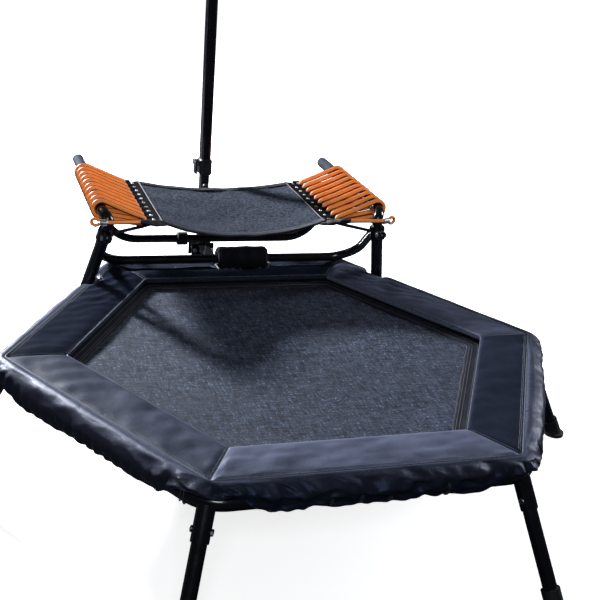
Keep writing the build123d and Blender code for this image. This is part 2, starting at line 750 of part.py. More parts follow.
def handle_plugs():
    half = HANDLE_LEN / 2
    plug = handle_rod(HANDLE_R - 2, half - 16, half) + handle_rod(HANDLE_R + 1, half, half + 5)
    return both(plug)


# ---- the parts ----------------------------------------------------------------------------
CORNER_NAMES = ["right", "rear_right", "rear_left", "left", "front_left", "front_right"]


def all_parts():
    parts = {"hex_frame": hex_frame()}
    for corner, name in enumerate(CORNER_NAMES):
        parts[f"leg_{name}"] = frame_leg(corner)
    parts["rubber_feet"] = group(*[rubber_foot(c) for c in range(SIDES)])
    parts["leg_bolts"] = group(*[leg_bolt(c) for c in range(SIDES)])
    parts["jump_mat"] = jump_mat()
    parts["mat_border"] = mat_border()
    parts["mat_rings"] = mat_rings()
    parts["mat_bungee_loops"] = mat_loops()
    parts["pad_foam"] = pad_foam()
    parts["pad_cover"] = pad_cover()
    parts["skirt_elastic"] = skirt_elastic()
    right_and_left = {
        "step_rail": step_rail(), "rail_end_cap": rail_end_cap(), "step_leg": step_leg(),
        "edge_strip": edge_strip(), "step_bungees": group(step_strands()),
        "foam_grip": foam_grip(),
    }
    for name, part in right_and_left.items():
        parts[f"{name}_right"], parts[f"{name}_left"] = both(part)
    parts["leg_clamp_straps"] = group(both(half_clamp(False)))
    parts["clamp_bolts"] = group(*[both(b) for b in clamp_bolts()])
    parts["leg_collars"] = group(both(leg_collar()))
    parts["collar_bolts"] = group(both(collar_bolt()))
    parts["edge_rods"] = group(both(edge_rod()))
    parts["corner_cords"] = group(*[both(c) for c in corner_cord()])
    parts["corner_straps"] = group(both(corner_strap()))
    parts["corner_crimps"] = group(both(corner_crimp()))
    parts["edge_rivets"] = group(*[both(r) for r in strip_rivets()])
    parts["front_cross_tube"] = front_cross_tube()
    parts["rear_cross_tube"] = rear_cross_tube()
    parts["cross_tube_ring"] = cross_tube_ring()
    parts["step_mat"] = step_mat()
    parts["tube_clamp_front"] = clamp_front()
    parts["tube_clamp_rear"] = clamp_rear()
    parts["tube_clamp_screws"] = group(clamp_screws())
    parts["clamp_sleeve"] = clamp_sleeve()
    parts["centre_beam"] = centre_beam()
    parts["post_rear_plate"] = rear_plate()
    parts["post_bolts"] = group(bracket_bolts(), [post_bolt(), base_bolt()])
    parts["lower_post"] = lower_post()
    parts["upper_post"] = upper_post()
    parts["post_collar"] = post_collar()
    parts["clamp_lever"] = clamp_lever()
    parts["lever_pin"] = lever_pin()
    parts["stop_pin"] = stop_pin()
    parts["base_stand"] = base_stand()
    parts["base_pads"] = group(base_pads())
    parts["base_plugs"] = group(base_plugs())
    parts["handle_bar"] = handle_bar()
    parts["handle_plugs"] = group(handle_plugs())
    return parts


os.makedirs("parts", exist_ok=True)
for node, shape in all_parts().items():
    export_step(Pos(0, -ROW_SHIFT, 0) * shape, f"parts/{node}.step")
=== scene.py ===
"""Looks for the hexagonal fitness trampoline: soft goods, materials, light and camera.

Metres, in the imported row's frame: +X right, +Y to the rear, +Z up. Soft pieces are drawn about the
hexagon's centre with z measured from the floor, then moved to the row's origin by `piece`.
"""
import json
from math import cos, pi, radians, sin, sqrt
import bpy
import numpy as np
from mathutils import Matrix, Vector
from mathutils.bvhtree import BVHTree


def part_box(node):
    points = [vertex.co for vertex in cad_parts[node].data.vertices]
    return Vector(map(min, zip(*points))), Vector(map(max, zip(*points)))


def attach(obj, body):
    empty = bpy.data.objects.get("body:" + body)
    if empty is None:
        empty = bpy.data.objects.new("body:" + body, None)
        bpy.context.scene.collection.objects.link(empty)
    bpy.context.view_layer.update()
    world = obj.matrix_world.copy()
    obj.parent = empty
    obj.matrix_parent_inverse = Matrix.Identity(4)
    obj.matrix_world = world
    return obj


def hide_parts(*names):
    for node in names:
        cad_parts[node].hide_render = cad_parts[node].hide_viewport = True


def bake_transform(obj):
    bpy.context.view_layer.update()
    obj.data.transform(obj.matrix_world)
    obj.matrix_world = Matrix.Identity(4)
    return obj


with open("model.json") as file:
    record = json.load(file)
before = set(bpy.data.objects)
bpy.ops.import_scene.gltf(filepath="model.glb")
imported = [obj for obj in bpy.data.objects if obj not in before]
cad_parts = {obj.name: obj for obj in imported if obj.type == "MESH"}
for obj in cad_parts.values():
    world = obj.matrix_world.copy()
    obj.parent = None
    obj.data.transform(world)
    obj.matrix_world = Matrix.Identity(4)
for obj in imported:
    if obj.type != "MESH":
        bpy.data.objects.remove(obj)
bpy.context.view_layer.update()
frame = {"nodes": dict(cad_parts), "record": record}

# ---- places and sizes from the frame ------------------------------------------------------
MAT_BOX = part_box("jump_mat")
BORDER_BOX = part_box("mat_border")
COVER_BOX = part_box("pad_cover")
SLEEVE_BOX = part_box("clamp_sleeve")
ROD_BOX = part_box("edge_rods")
CENTRE_Y = (MAT_BOX[0].y + MAT_BOX[1].y) / 2
TOP = COVER_BOX[1].z                       # top of the safety pad
MAT_Z = MAT_BOX[1].z
MAT_SIDE = MAT_BOX[1].y - CENTRE_Y         # hexagon centre to flat
BORDER_SIDE = BORDER_BOX[1].y - CENTRE_Y
SKIRT_SIDE = COVER_BOX[1].y - CENTRE_Y
PAD_INNER = 0.4405
PAD_SEAM = 0.5543                          # seam between the top panels and the skirt
PAD_WIDTH = 0.113                          # inner edge to outer seam, along the panel
PAD_THICK = 0.0145
TUBE_SIDE, TUBE_R = 0.5672, 0.017          # hexagonal frame tube
TUBE_Z = TOP - 0.0396
TUBE_BEND = 0.080
COS30 = cos(radians(30))
SIDE_ANGLES = [30 + 60 * i for i in range(6)]
REAR_RIGHT, REAR, REAR_LEFT = 0, 1, 2
LEG_ALONG = 0.1806                         # step leg's place along its side
ROD_R = 0.002
ROD_X = ROD_BOX[1].x - ROD_R
ROD_Z = (ROD_BOX[0].z + ROD_BOX[1].z) / 2
RAIL_X, RAIL_R = 0.375, 0.014              # the step's side rails
RAIL_Z = ROD_Z + 0.0315
STRAND_R = 0.0068                          # orange cords
CORNER_CORD_R = 0.0055
SLEEVE_X = (SLEEVE_BOX[0].x, SLEEVE_BOX[1].x)
SLEEVE_Y, SLEEVE_R = 0.5556, 0.0335        # the sleeve's axis is the front cross tube's
CROSS_TUBE_R = 0.01225
SLEEVE_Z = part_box("front_cross_tube")[0].z + CROSS_TUBE_R
SLEEVE_FLOOR = SLEEVE_BOX[0].z             # flat underside, above the mat's elastics
STRAND_Y0, STRAND_PITCH, STRANDS = 0.440, 0.036, 10
STRIP_IN, STRIP_OUT = 0.222, 0.2545        # webbing down both sides of the step mat
MAT_Y0, MAT_Y1 = 0.422, 0.782              # step mat, front and rear
RNG = np.random.default_rng(7)


# ---- numeric helpers ----------------------------------------------------------------------
def smooth(a, b, x):
    t = np.clip((np.asarray(x, float) - a) / (b - a), 0, 1)
    return t * t * (3 - 2 * t)


def bump(x, centre, width):
    return np.exp(-((np.asarray(x, float) - centre) / width) ** 2)


def waves(points, wavelength, count=9, seed=1, stretch=(1, 1, 1)):
    """Smooth noise between about -1 and 1, as a sum of waves in random directions."""
    rng = np.random.default_rng(seed)
    total = np.zeros(len(points))
    scaled = np.asarray(points, float) * np.asarray(stretch, float)
    for _ in range(count):
        direction = rng.normal(size=3)
        direction /= np.linalg.norm(direction)
        number = 2 * pi / wavelength * rng.uniform(0.6, 1.5)
        total += np.sin(scaled @ direction * number + rng.uniform(0, 2 * pi))
    return total / sqrt(count)


def through(points, count):
    """A smooth curve through a few points, resampled to even steps (Catmull-Rom)."""
    p = np.asarray(points, float)
    p = np.vstack([2 * p[0] - p[1], p, 2 * p[-1] - p[-2]])
    fine = []
    for i in range(1, len(p) - 2):
        t = np.linspace(0, 1, 24, endpoint=False)[:, None]
        a, b, c, d = p[i - 1:i + 3]
        fine.append(0.5 * (2 * b + (c - a) * t + (2 * a - 5 * b + 4 * c - d) * t ** 2
                           + (3 * b - a - 3 * c + d) * t ** 3))
    fine = np.vstack(fine + [p[-2:-1]])
    return even(fine, count)


def even(line, count):
    line = np.asarray(line, float)
    step = np.r_[0, np.cumsum(np.linalg.norm(np.diff(line, axis=0), axis=1))]
    at = np.linspace(0, step[-1], count)
    return np.stack([np.interp(at, step, line[:, k]) for k in range(line.shape[1])], 1)


def hex_radius(angle, side, corner):
    """Distance from the hexagon's centre to its rounded outline; angle in radians, corners at 0, 60..."""
    off = np.mod(angle + pi / 6, pi / 3) - pi / 6
    off = np.abs(off)
    mid = (side - corner) / COS30
    turn = np.arctan2(corner * 0.5, mid + corner * COS30)
    inside = np.maximum(corner ** 2 - (mid * np.sin(off)) ** 2, 0)
    round_part = mid * np.cos(off) + np.sqrt(inside)
    flat_part = side / np.cos(pi / 6 - off)
    return np.where(off < turn, round_part, flat_part)


def side_angle(side, along):
    """Direction, seen from the centre, of a place on a side; along runs from -1 to 1."""
    return radians(SIDE_ANGLES[side]) + np.arctan(np.asarray(along) * np.tan(pi / 6))


def polar(angle, radius, z):
    angle, radius, z = np.broadcast_arrays(angle, radius, z)
    return np.stack([radius * np.cos(angle), radius * np.sin(angle), z], -1)


# ---- mesh helpers -------------------------------------------------------------------------
def piece(name, verts, faces, material, body=None, cad=(), sharp=None):
    """A smooth-shaded mesh object, moved from the hexagon's centre to the row's frame."""
    mesh = bpy.data.meshes.new(name)
    verts = np.asarray(verts, float).reshape(-1, 3) + (0, CENTRE_Y, 0)
    mesh.from_pydata(verts.tolist(), [], [tuple(int(i) for i in f) for f in faces])
    mesh.materials.append(material)
    mesh.shade_smooth()
    mesh.update()
    made = bpy.data.objects.new(name, mesh)
    bpy.context.scene.collection.objects.link(made)
    if sharp:
        mesh.set_sharp_from_angle(angle=radians(sharp))
    if body:
        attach(made, body)
    if cad:
        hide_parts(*cad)
    return made


def grid_faces(rows, cols, wrap_rows=False, wrap_cols=False, first=0, flip=False):
    faces = []
    for r in range(rows if wrap_rows else rows - 1):
        for c in range(cols if wrap_cols else cols - 1):
            r2, c2 = (r + 1) % rows, (c + 1) % cols
            quad = [r * cols + c, r * cols + c2, r2 * cols + c2, r2 * cols + c]
            if flip:
                quad.reverse()
            faces.append([first + q for q in quad])
    return faces


def mark(obj, name, values):
    """Per-vertex numbers for the materials to read."""
    values = np.asarray(values, np.float32)
    kind = "FLOAT" if values.ndim == 1 else "FLOAT_VECTOR"
    field = obj.data.attributes.new(name, kind, "POINT")
    field.data.foreach_set("value" if values.ndim == 1 else "vector", values.ravel())


class Mesh:
    """Collects verts and faces of one object made of several shells."""

    def __init__(self):
        self.verts, self.faces, self.count = [], [], 0

    def add(self, verts, faces):
        verts = np.asarray(verts, float).reshape(-1, 3)
        self.verts.append(verts)
        self.faces += [[i + self.count for i in f] for f in faces]
        self.count += len(verts)

    def all_verts(self):
        return np.vstack(self.verts)


def frames(path, closed=False):
    """Tangent and two normals along a path, without twist."""
    ahead = np.roll(path, -1, 0) - np.roll(path, 1, 0)
    if not closed:
        ahead[0], ahead[-1] = path[1] - path[0], path[-1] - path[-2]
    ahead /= np.linalg.norm(ahead, axis=1)[:, None]
    helper = np.array([0, 0, 1.0]) if abs(ahead[0][2]) < 0.9 else np.array([0, 1.0, 0])
    side = np.cross(helper, ahead[0])
    side /= np.linalg.norm(side)
    sides = [side]
    for t in ahead[1:]:
        side = side - t * (side @ t)
        side = side / np.linalg.norm(side)
        sides.append(side)
    sides = np.array(sides)
    return ahead, sides, np.cross(ahead, sides)


def tube(path, radius, around=12, closed=False, caps=True, flat=1.0, roll=0.0):
    """Verts and faces of a round (or flattened) tube along a path."""
    path = np.asarray(path, float)
    radius = np.broadcast_to(np.asarray(radius, float), len(path))
    _, a, b = frames(path, closed)
    if closed:
        _, last, _ = frames(np.vstack([path, path[:1]]))
        twist = np.arctan2(last[-1] @ b[0], last[-1] @ a[0])
        roll = roll - twist * np.arange(len(path)) / len(path)
    turn = np.linspace(0, 2 * pi, around, endpoint=False)[None, :] + np.reshape(roll, (-1, 1))
    ring = (a[:, None] * np.cos(turn)[..., None] + b[:, None] * np.sin(turn)[..., None] * flat)
    verts = path[:, None] + ring * radius[:, None, None]
    faces = grid_faces(len(path), around, closed, True)
    verts = verts.reshape(-1, 3)
    if not closed and caps:
        n = len(verts)
        verts = np.vstack([verts, path[:1], path[-1:]])
        last = (len(path) - 1) * around
        for i in range(around):
            j = (i + 1) % around
            faces.append([n, j, i])
            faces.append([n + 1, last + i, last + j])
    return verts, faces


def ribbon(path, width_dir, width, thick, rounded=3):
    """Flat webbing along a path; width_dir is one direction for all, or one per point."""
    path = np.asarray(path, float)
    ahead, _, _ = frames(path)
    across = np.broadcast_to(np.asarray(width_dir, float), path.shape)
    across = across - ahead * np.sum(across * ahead, 1)[:, None]
    across = across / np.linalg.norm(across, axis=1)[:, None]
    up = np.cross(ahead, across)
    turn = np.linspace(-pi / 2, pi / 2, rounded + 2)
    right = [(width / 2 - thick / 2 * (1 - cos(t)), thick / 2 * sin(t)) for t in turn]
    outline = right + [(-x, z) for x, z in reversed(right)]
    verts = np.stack([path + across * x + up * z for x, z in outline], 1)
    n = len(outline)
    faces = grid_faces(len(path), n, False, True)
    faces.append(list(range(n))[::-1])
    faces.append([(len(path) - 1) * n + i for i in range(n)])
    return verts.reshape(-1, 3), faces


def keep_off(points, line, clearance, only_down=False):
    """Push points out of a tube of the given clearance round a polyline."""
    line = np.asarray(line, float)
    p = np.asarray(points, float).copy()
    near = np.full(len(p), 1e9)
    foot = np.zeros_like(p)
    for a, b in zip(line[:-1], line[1:]):
        d = b - a
        t = np.clip((p - a) @ d / (d @ d), 0, 1)
        q = a + t[:, None] * d
        away = np.linalg.norm(p - q, axis=1)
        closer = away < near
        near[closer] = away[closer]
        foot[closer] = q[closer]
    inside = near < clearance
    if not inside.any():
        return p
    if only_down:
        flat = p[inside] - foot[inside]
        level = np.sqrt(np.maximum(clearance ** 2 - flat[:, 0] ** 2 - flat[:, 1] ** 2, 0))
        level = np.where(np.abs(flat[:, 2]) < 1e-9, clearance, level)
        p[inside, 2] = foot[inside, 2] - level
        return p
    push = p[inside] - foot[inside]
    length = np.linalg.norm(push, axis=1)[:, None]
    p[inside] = foot[inside] + push / np.maximum(length, 1e-6) * clearance
    return p


def front_tube_line():
    """Centre line of the front cross tube between its two bends."""
    return np.array([(x, SLEEVE_Y - 1.02 * h, SLEEVE_Z + h) for x, h in
                     [(-0.3705, 0.09), (-0.366, 0.055), (-0.345, 0.022), (-0.315, 0.006),
                      (-0.275, 0), (0.275, 0), (0.315, 0.006), (0.345, 0.022),
                      (0.366, 0.055), (0.3705, 0.09)]])


def frame_tube_line():
    angle = np.linspace(0, 2 * pi, 361)
    return polar(angle, hex_radius(angle, TUBE_SIDE, TUBE_BEND), TUBE_Z)


def settle(obj, pin, growth, frames_run, cap, pressure=0.0):
    """Cloth simulation: the sheet grows by `growth` (per vertex) and buckles between its pins.

    No vertex ends further than `cap` from where it was drawn.
    """
    n = len(obj.data.vertices)
    start = np.empty(n * 3)
    obj.data.vertices.foreach_get("co", start)
    start = start.reshape(-1, 3)
    groups = {"pin": np.asarray(pin), "growth": np.asarray(growth)}
    for name, weight in groups.items():
        group = obj.vertex_groups.new(name=name)
        levels = np.round(np.clip(weight, 0, 1) * 20) / 20
        for level in np.unique(levels):
            group.add(np.nonzero(levels == level)[0].tolist(), float(level), "REPLACE")
    cloth = obj.modifiers.new("Cloth", "CLOTH")
    s = cloth.settings
    s.quality = 5
    s.mass = 0.25
    s.tension_stiffness = s.compression_stiffness = 30
    s.shear_stiffness = 8
    s.bending_stiffness = 0.4
    s.tension_damping = s.compression_damping = 8
    s.air_damping = 3
    s.effector_weights.gravity = 0
    s.vertex_group_mass = "pin"
    s.pin_stiffness = 8
    s.vertex_group_shrink = "growth"
    s.shrink_min = 0.0
    s.shrink_max = -0.25
    if pressure:
        s.use_pressure = True
        s.uniform_pressure_force = pressure
    cloth.collision_settings.use_collision = False
    cloth.point_cache.frame_start = 1
    cloth.point_cache.frame_end = frames_run
    for f in range(1, frames_run + 1):
        bpy.context.scene.frame_set(f)
    evaluated = obj.evaluated_get(bpy.context.evaluated_depsgraph_get())
    co = np.empty(n * 3)
    evaluated.data.vertices.foreach_get("co", co)
    obj.modifiers.remove(cloth)
    bpy.context.scene.frame_set(1)
    move = co.reshape(-1, 3) - start
    length = np.linalg.norm(move, axis=1)[:, None]
    move *= cap * np.tanh(length / cap) / np.maximum(length, 1e-9)
    obj.data.vertices.foreach_set("co", (start + move).ravel())
    obj.data.update()


def coords(obj):
    co = np.empty(len(obj.data.vertices) * 3)
    obj.data.vertices.foreach_get("co", co)
    return co.reshape(-1, 3) - (0, CENTRE_Y, 0)


def set_coords(obj, co):
    obj.data.vertices.foreach_set("co", (np.asarray(co) + (0, CENTRE_Y, 0)).ravel())
    obj.data.update()


def refine(obj):
    """One subdivision, applied."""
    obj.modifiers.new("Smooth", "SUBSURF").levels = 1
    mesh = bpy.data.meshes.new_from_object(obj.evaluated_get(bpy.context.evaluated_depsgraph_get()))
    obj.modifiers.clear()
    obj.data = mesh


# ---- material helpers ---------------------------------------------------------------------
class Nodes:
    """Short names for building one node material."""

    def __init__(self, name):
        self.material = bpy.data.materials.new(name)
        self.material.use_nodes = True
        self.tree = self.material.node_tree
        self.shader = self.tree.nodes["Principled BSDF"]

    def add(self, kind, **settings):
        node = self.tree.nodes.new(kind)
        for key, value in settings.items():
            if key.startswith("in_"):
                socket = node.inputs[key[3:].replace("_", " ")]
                self.feed(socket, value)
            else:
                setattr(node, key, value)
        return node

    def feed(self, socket, value):
        if isinstance(value, bpy.types.NodeSocket):
            self.tree.links.new(value, socket)
        else:
            socket.default_value = value

    def set(self, **values):
        for key, value in values.items():
            self.feed(self.shader.inputs[key.replace("_", " ")], value)

    def place(self):
        return self.add("ShaderNodeTexCoord").outputs["Object"]

    def attribute(self, name, output="Fac"):
        return self.add("ShaderNodeAttribute", attribute_name=name).outputs[output]

    def noise(self, vector, scale, detail=4, rough=0.55):
        return self.add("ShaderNodeTexNoise", in_Vector=vector, in_Scale=scale, in_Detail=detail,
                        in_Roughness=rough).outputs["Fac"]

    def scaled(self, vector, scale):
        node = self.add("ShaderNodeMapping", in_Vector=vector)
        node.inputs["Scale"].default_value = scale
        return node.outputs["Vector"]

    def math(self, operation, a, b=0.0):
        node = self.add("ShaderNodeMath", operation=operation)
        self.feed(node.inputs[0], a)
        self.feed(node.inputs[1], b)
        return node.outputs[0]

    def fit(self, value, low, high, to_low, to_high):
        node = self.add("ShaderNodeMapRange", in_Value=value)
        node.inputs["From Min"].default_value = low
        node.inputs["From Max"].default_value = high
        self.feed(node.inputs["To Min"], to_low)
        self.feed(node.inputs["To Max"], to_high)
        return node.outputs[0]

    def mix(self, amount, a, b):
        node = self.add("ShaderNodeMix", data_type="RGBA")
        self.feed(node.inputs[0], amount)
        self.feed(node.inputs[6], rgb(a))
        self.feed(node.inputs[7], rgb(b))
        return node.outputs[2]

    def bump(self, height, strength, distance, normal=None):
        node = self.add("ShaderNodeBump", in_Height=height, in_Strength=strength,
                        in_Distance=distance)
        if normal is not None:
            self.feed(node.inputs["Normal"], normal)
        return node.outputs["Normal"]

    def split(self, vector):
        node = self.add("ShaderNodeSeparateXYZ", in_Vector=vector)
        return node.outputs[0], node.outputs[1], node.outputs[2]

    def crevice(self, distance, samples):
        """1 in the open, towards 0 between close neighbours (ambient occlusion, used as painted shade)."""
        node = self.add("ShaderNodeAmbientOcclusion", samples=samples)
        node.inputs["Distance"].default_value = distance
        return node.outputs["AO"]

    def edges(self, radius=0.002):
        """0 on flat places, near 1 on worn edges."""
        bevel = self.add("ShaderNodeBevel", in_Radius=radius)
        true = self.add("ShaderNodeNewGeometry").outputs["Normal"]
        dot = self.add("ShaderNodeVectorMath", operation="DOT_PRODUCT")
        self.feed(dot.inputs[0], bevel.outputs[0])
        self.feed(dot.inputs[1], true)
        return self.fit(dot.outputs["Value"], 0.99, 0.8, 0.0, 1.0)


def rgb(value):
    if isinstance(value, tuple) and len(value) == 3:
        return value + (1.0,)
    return value


def weave(n, u, v, pitch_u, pitch_v):
    """Height of a plain weave from two coordinates in metres."""
    across = n.math("SINE", n.math("MULTIPLY", u, 2 * pi / pitch_u))
    along = n.math("SINE", n.math("MULTIPLY", v, 2 * pi / pitch_v))
    return n.math("MULTIPLY", across, along)


# ---- materials for hard parts -------------------------------------------------------------
def gloss_paint():
    n = Nodes("gloss_black_paint")
    place = n.place()
    orange_peel = n.noise(place, 900, 2)
    dust = n.noise(place, 38, 6, 0.7)
    specks = n.fit(n.noise(place, 420, 3), 0.66, 0.74, 0.0, 1.0)
    worn = n.math("MULTIPLY", n.edges(0.0012), n.fit(dust, 0.4, 0.65, 0.0, 1.0))
    colour = n.mix(n.fit(dust, 0.35, 0.75, 0.0, 0.35), (0.0035, 0.0042, 0.007), (0.012, 0.014, 0.021))
    colour = n.mix(n.math("MULTIPLY", worn, 0.5), colour, (0.10, 0.11, 0.13))
    n.set(Base_Color=colour, Roughness=n.fit(dust, 0.3, 0.75, 0.14, 0.30), Specular_IOR_Level=0.5,
          Coat_Weight=0.5, Coat_Roughness=n.fit(specks, 0, 1, 0.06, 0.25),
          Normal=n.bump(orange_peel, 0.05, 0.0004))
    return n.material


def metal(name, base, rough, brushed):
    n = Nodes(name)
    place = n.place()
    streaks = n.noise(n.scaled(place, brushed), 60, 5)
    grime = n.noise(place, 120, 4)
    colour = n.mix(n.fit(grime, 0.45, 0.8, 0.0, 0.6), base, tuple(c * 0.45 for c in base))
    n.set(Base_Color=colour, Metallic=1.0, Roughness=n.fit(streaks, 0.3, 0.7, rough, rough + 0.16),
          Normal=n.bump(streaks, 0.12, 0.0003))
    return n.material


def plastic(name, base, rough, grain=1400, coat=0.0, shine=0.5):
    n = Nodes(name)
    place = n.place()
    pebble = n.noise(place, grain, 2)
    cloud = n.noise(place, 30, 5)
    lit = tuple(min(1, c * 1.6 + 0.004) for c in base)
    colour = n.mix(n.fit(cloud, 0.35, 0.7, 0, 1), base, lit)
    worn = n.math("MULTIPLY", n.edges(0.0012), 0.35)
    colour = n.mix(worn, colour, tuple(c * 2 + 0.03 for c in base))
    n.set(Base_Color=colour, Roughness=n.fit(cloud, 0.3, 0.7, rough - 0.05, rough + 0.07),
          Specular_IOR_Level=shine, Coat_Weight=coat, Coat_Roughness=0.2,
          Normal=n.bump(pebble, 0.18, 0.0004))
    return n.material


def foot_rubber():
    n = Nodes("foot_rubber")
    place = n.place()
    dust = n.noise(place, 55, 7, 0.7)
    _, _, z = n.split(place)
    scuffed = n.math("MULTIPLY", n.fit(z, 0.0, 0.03, 1.0, 0.0), n.fit(dust, 0.4, 0.7, 0, 1))
    colour = n.mix(scuffed, (0.011, 0.011, 0.013), (0.075, 0.073, 0.072))
    n.set(Base_Color=colour, Roughness=n.fit(dust, 0.3, 0.7, 0.55, 0.8),
          Normal=n.bump(n.noise(place, 700, 3), 0.25, 0.0005))
    return n.material


# ---- materials for soft parts -------------------------------------------------------------
def satin_cover(name, dull=(0.010, 0.013, 0.024), lit=(0.085, 0.096, 0.150), rough=0.53,
                shine=(0.0, 0.24)):
    """Coated satin. A per-vertex attribute gives each panel's painted sheen: it mixes the colour from
    `dull` (painted shade) towards `lit` (painted sheen), lightens seams and streaks, and sets the specular
    level; `edge` runs to 1 at seams, `cloth` is (u, v).
    """
    n = Nodes(name)
    place = n.place()
    u, v, _ = n.split(n.attribute("cloth", "Vector"))
    painted_lustre = n.attribute("painted_lustre")
    edge = n.attribute("edge")
    streak = n.noise(n.scaled(place, (1, 1, 3)), 9, 6, 0.62)
    cloud = n.noise(place, 34, 5, 0.6)
    scratch_and_glint = n.fit(n.noise(n.scaled(place, (9, 60, 30)), 7, 6, 0.7), 0.60, 0.72, 0.0, 1.0)
    # Painted sheen: the per-vertex sheen value scales a mix from the shaded colour `dull` to the lit colour
    # `lit`.
    shade = n.math("MULTIPLY", painted_lustre, n.fit(streak, 0.3, 0.7, 0.62, 1.25))
    shade = n.math("MULTIPLY", shade, n.fit(cloud, 0.2, 0.8, 0.88, 1.12))
    colour = n.mix(n.math("MINIMUM", shade, 1.0), dull, lit)
    # Lighter seams: partly fraying, partly painted highlight, as they are lighter where the painted sheen
    # is high.
    seam_fray_and_highlight = n.math("MULTIPLY", edge, n.fit(n.noise(place, 210, 5, 0.7), 0.34, 0.62, 0.12, 1.0))
    seam_fray_and_highlight = n.math("MULTIPLY", seam_fray_and_highlight, n.fit(painted_lustre, 0.0, 0.6, 0.12, 0.80))
    colour = n.mix(seam_fray_and_highlight, colour, (0.23, 0.27, 0.37))
    # Pale streaks: partly scratches, partly painted glints, shown only where the painted sheen is high.
    scratch_and_glint = n.math("MULTIPLY", scratch_and_glint, n.math("MULTIPLY", painted_lustre, 0.22))
    colour = n.mix(scratch_and_glint, colour, (0.20, 0.24, 0.33))
    threads = weave(n, u, v, 0.0011, 0.0011)
    fine = n.math("ADD", n.math("MULTIPLY", threads, 0.4), n.noise(place, 1500, 2))
    normal = n.bump(fine, 0.22, 0.0005)
    normal = n.bump(cloud, 0.35, 0.004, normal)
    n.set(Base_Color=colour, Roughness=n.fit(cloud, 0.3, 0.7, rough - 0.05, rough + 0.09),
          Specular_IOR_Level=n.fit(painted_lustre, 0.0, 1.0, *shine), Specular_Tint=(0.42, 0.56, 1.0, 1.0),
          Normal=normal)
    return n.material


def woven_mat():
    """Blue-grey woven sheet: crossing slubs, a diagonal rib, dark pores and pale flecks."""
    n = Nodes("woven_mat")
    place = n.place()
    x, y, _ = n.split(place)
    slub_x = n.noise(n.scaled(place, (34, 190, 1)), 1.0, 3, 0.65)
    slub_y = n.noise(n.scaled(place, (190, 34, 1)), 1.0, 3, 0.65)
    speck = n.noise(place, 260, 2, 0.6)
    cloud = n.noise(place, 4.5, 5, 0.6)
    diagonal = n.math("ADD", x, n.math("MULTIPLY", y, 1.35))
    wander = n.math("MULTIPLY", slub_x, 0.004)
    twill = n.math("SINE", n.math("MULTIPLY", n.math("ADD", diagonal, wander), 2 * pi / 0.0105))
    threads = weave(n, x, y, 0.0052, 0.0046)
    streaks = n.math("MULTIPLY", n.math("ADD", slub_x, slub_y), 0.5)
    base = n.mix(n.fit(streaks, 0.40, 0.60, 0.0, 1.0), (0.010, 0.013, 0.023), (0.070, 0.091, 0.148))
    base = n.mix(n.fit(twill, -0.6, 1.0, 0.0, 0.42), base, (0.012, 0.016, 0.028))
    base = n.mix(n.fit(threads, -0.2, 0.9, 0.0, 0.40), base, (0.008, 0.010, 0.018))
    base = n.mix(n.fit(speck, 0.42, 0.30, 0.0, 0.75), base, (0.006, 0.008, 0.014))
    fleck = n.fit(n.math("MULTIPLY", speck, n.math("ADD", streaks, 0.5)), 0.62, 0.74, 0.0, 0.85)
    base = n.mix(fleck, base, (0.27, 0.35, 0.48))
    base = n.mix(n.fit(cloud, 0.35, 0.7, 0.0, 0.45), base, (0.022, 0.027, 0.044))
    ribs = n.math("ADD", threads, n.math("MULTIPLY", twill, 0.7))
    n.set(Base_Color=base, Roughness=n.fit(threads, -1, 1, 0.75, 0.6), Specular_IOR_Level=0.15,
          Normal=n.bump(ribs, 0.6, 0.0009))
    return n.material


def webbing(name, base=(0.007, 0.008, 0.013), lit=(0.028, 0.032, 0.048), pitch=0.0016, rough=0.55,
            shine=0.22):
    n = Nodes(name)
    place = n.place()
    x, y, z = n.split(place)
    ribs = weave(n, n.math("ADD", x, n.math("MULTIPLY", z, 0.7)), n.math("ADD", y, z), pitch, pitch * 1.3)
    cloud = n.noise(place, 45, 6, 0.65)
    colour = n.mix(n.fit(cloud, 0.32, 0.72, 0, 1), base, lit)
    colour = n.mix(n.fit(ribs, -1, 1, 0.0, 0.45), colour, tuple(c * 0.4 for c in base))
    n.set(Base_Color=colour, Roughness=n.fit(cloud, 0.3, 0.7, rough - 0.08, rough + 0.1),
          Specular_IOR_Level=shine, Normal=n.bump(ribs, 0.5, 0.0005))
    return n.material


def step_felt():
    n = Nodes("step_felt")
    place = n.place()
    fuzz = n.noise(place, 900, 6, 0.8)
    mottle = n.noise(place, 150, 6, 0.8)
    cloud = n.noise(place, 7, 5, 0.6)
    colour = n.mix(n.fit(mottle, 0.40, 0.62, 0, 1), (0.006, 0.008, 0.014), (0.078, 0.092, 0.126))
    colour = n.mix(n.fit(fuzz, 0.54, 0.72, 0.0, 0.6), colour, (0.14, 0.165, 0.22))
    colour = n.mix(n.fit(cloud, 0.35, 0.75, 0.0, 0.35), colour, (0.030, 0.037, 0.056))
    n.set(Base_Color=colour, Roughness=0.95, Specular_IOR_Level=0.05,
          Normal=n.bump(n.math("ADD", fuzz, mottle), 0.8, 0.0012))
    return n.material


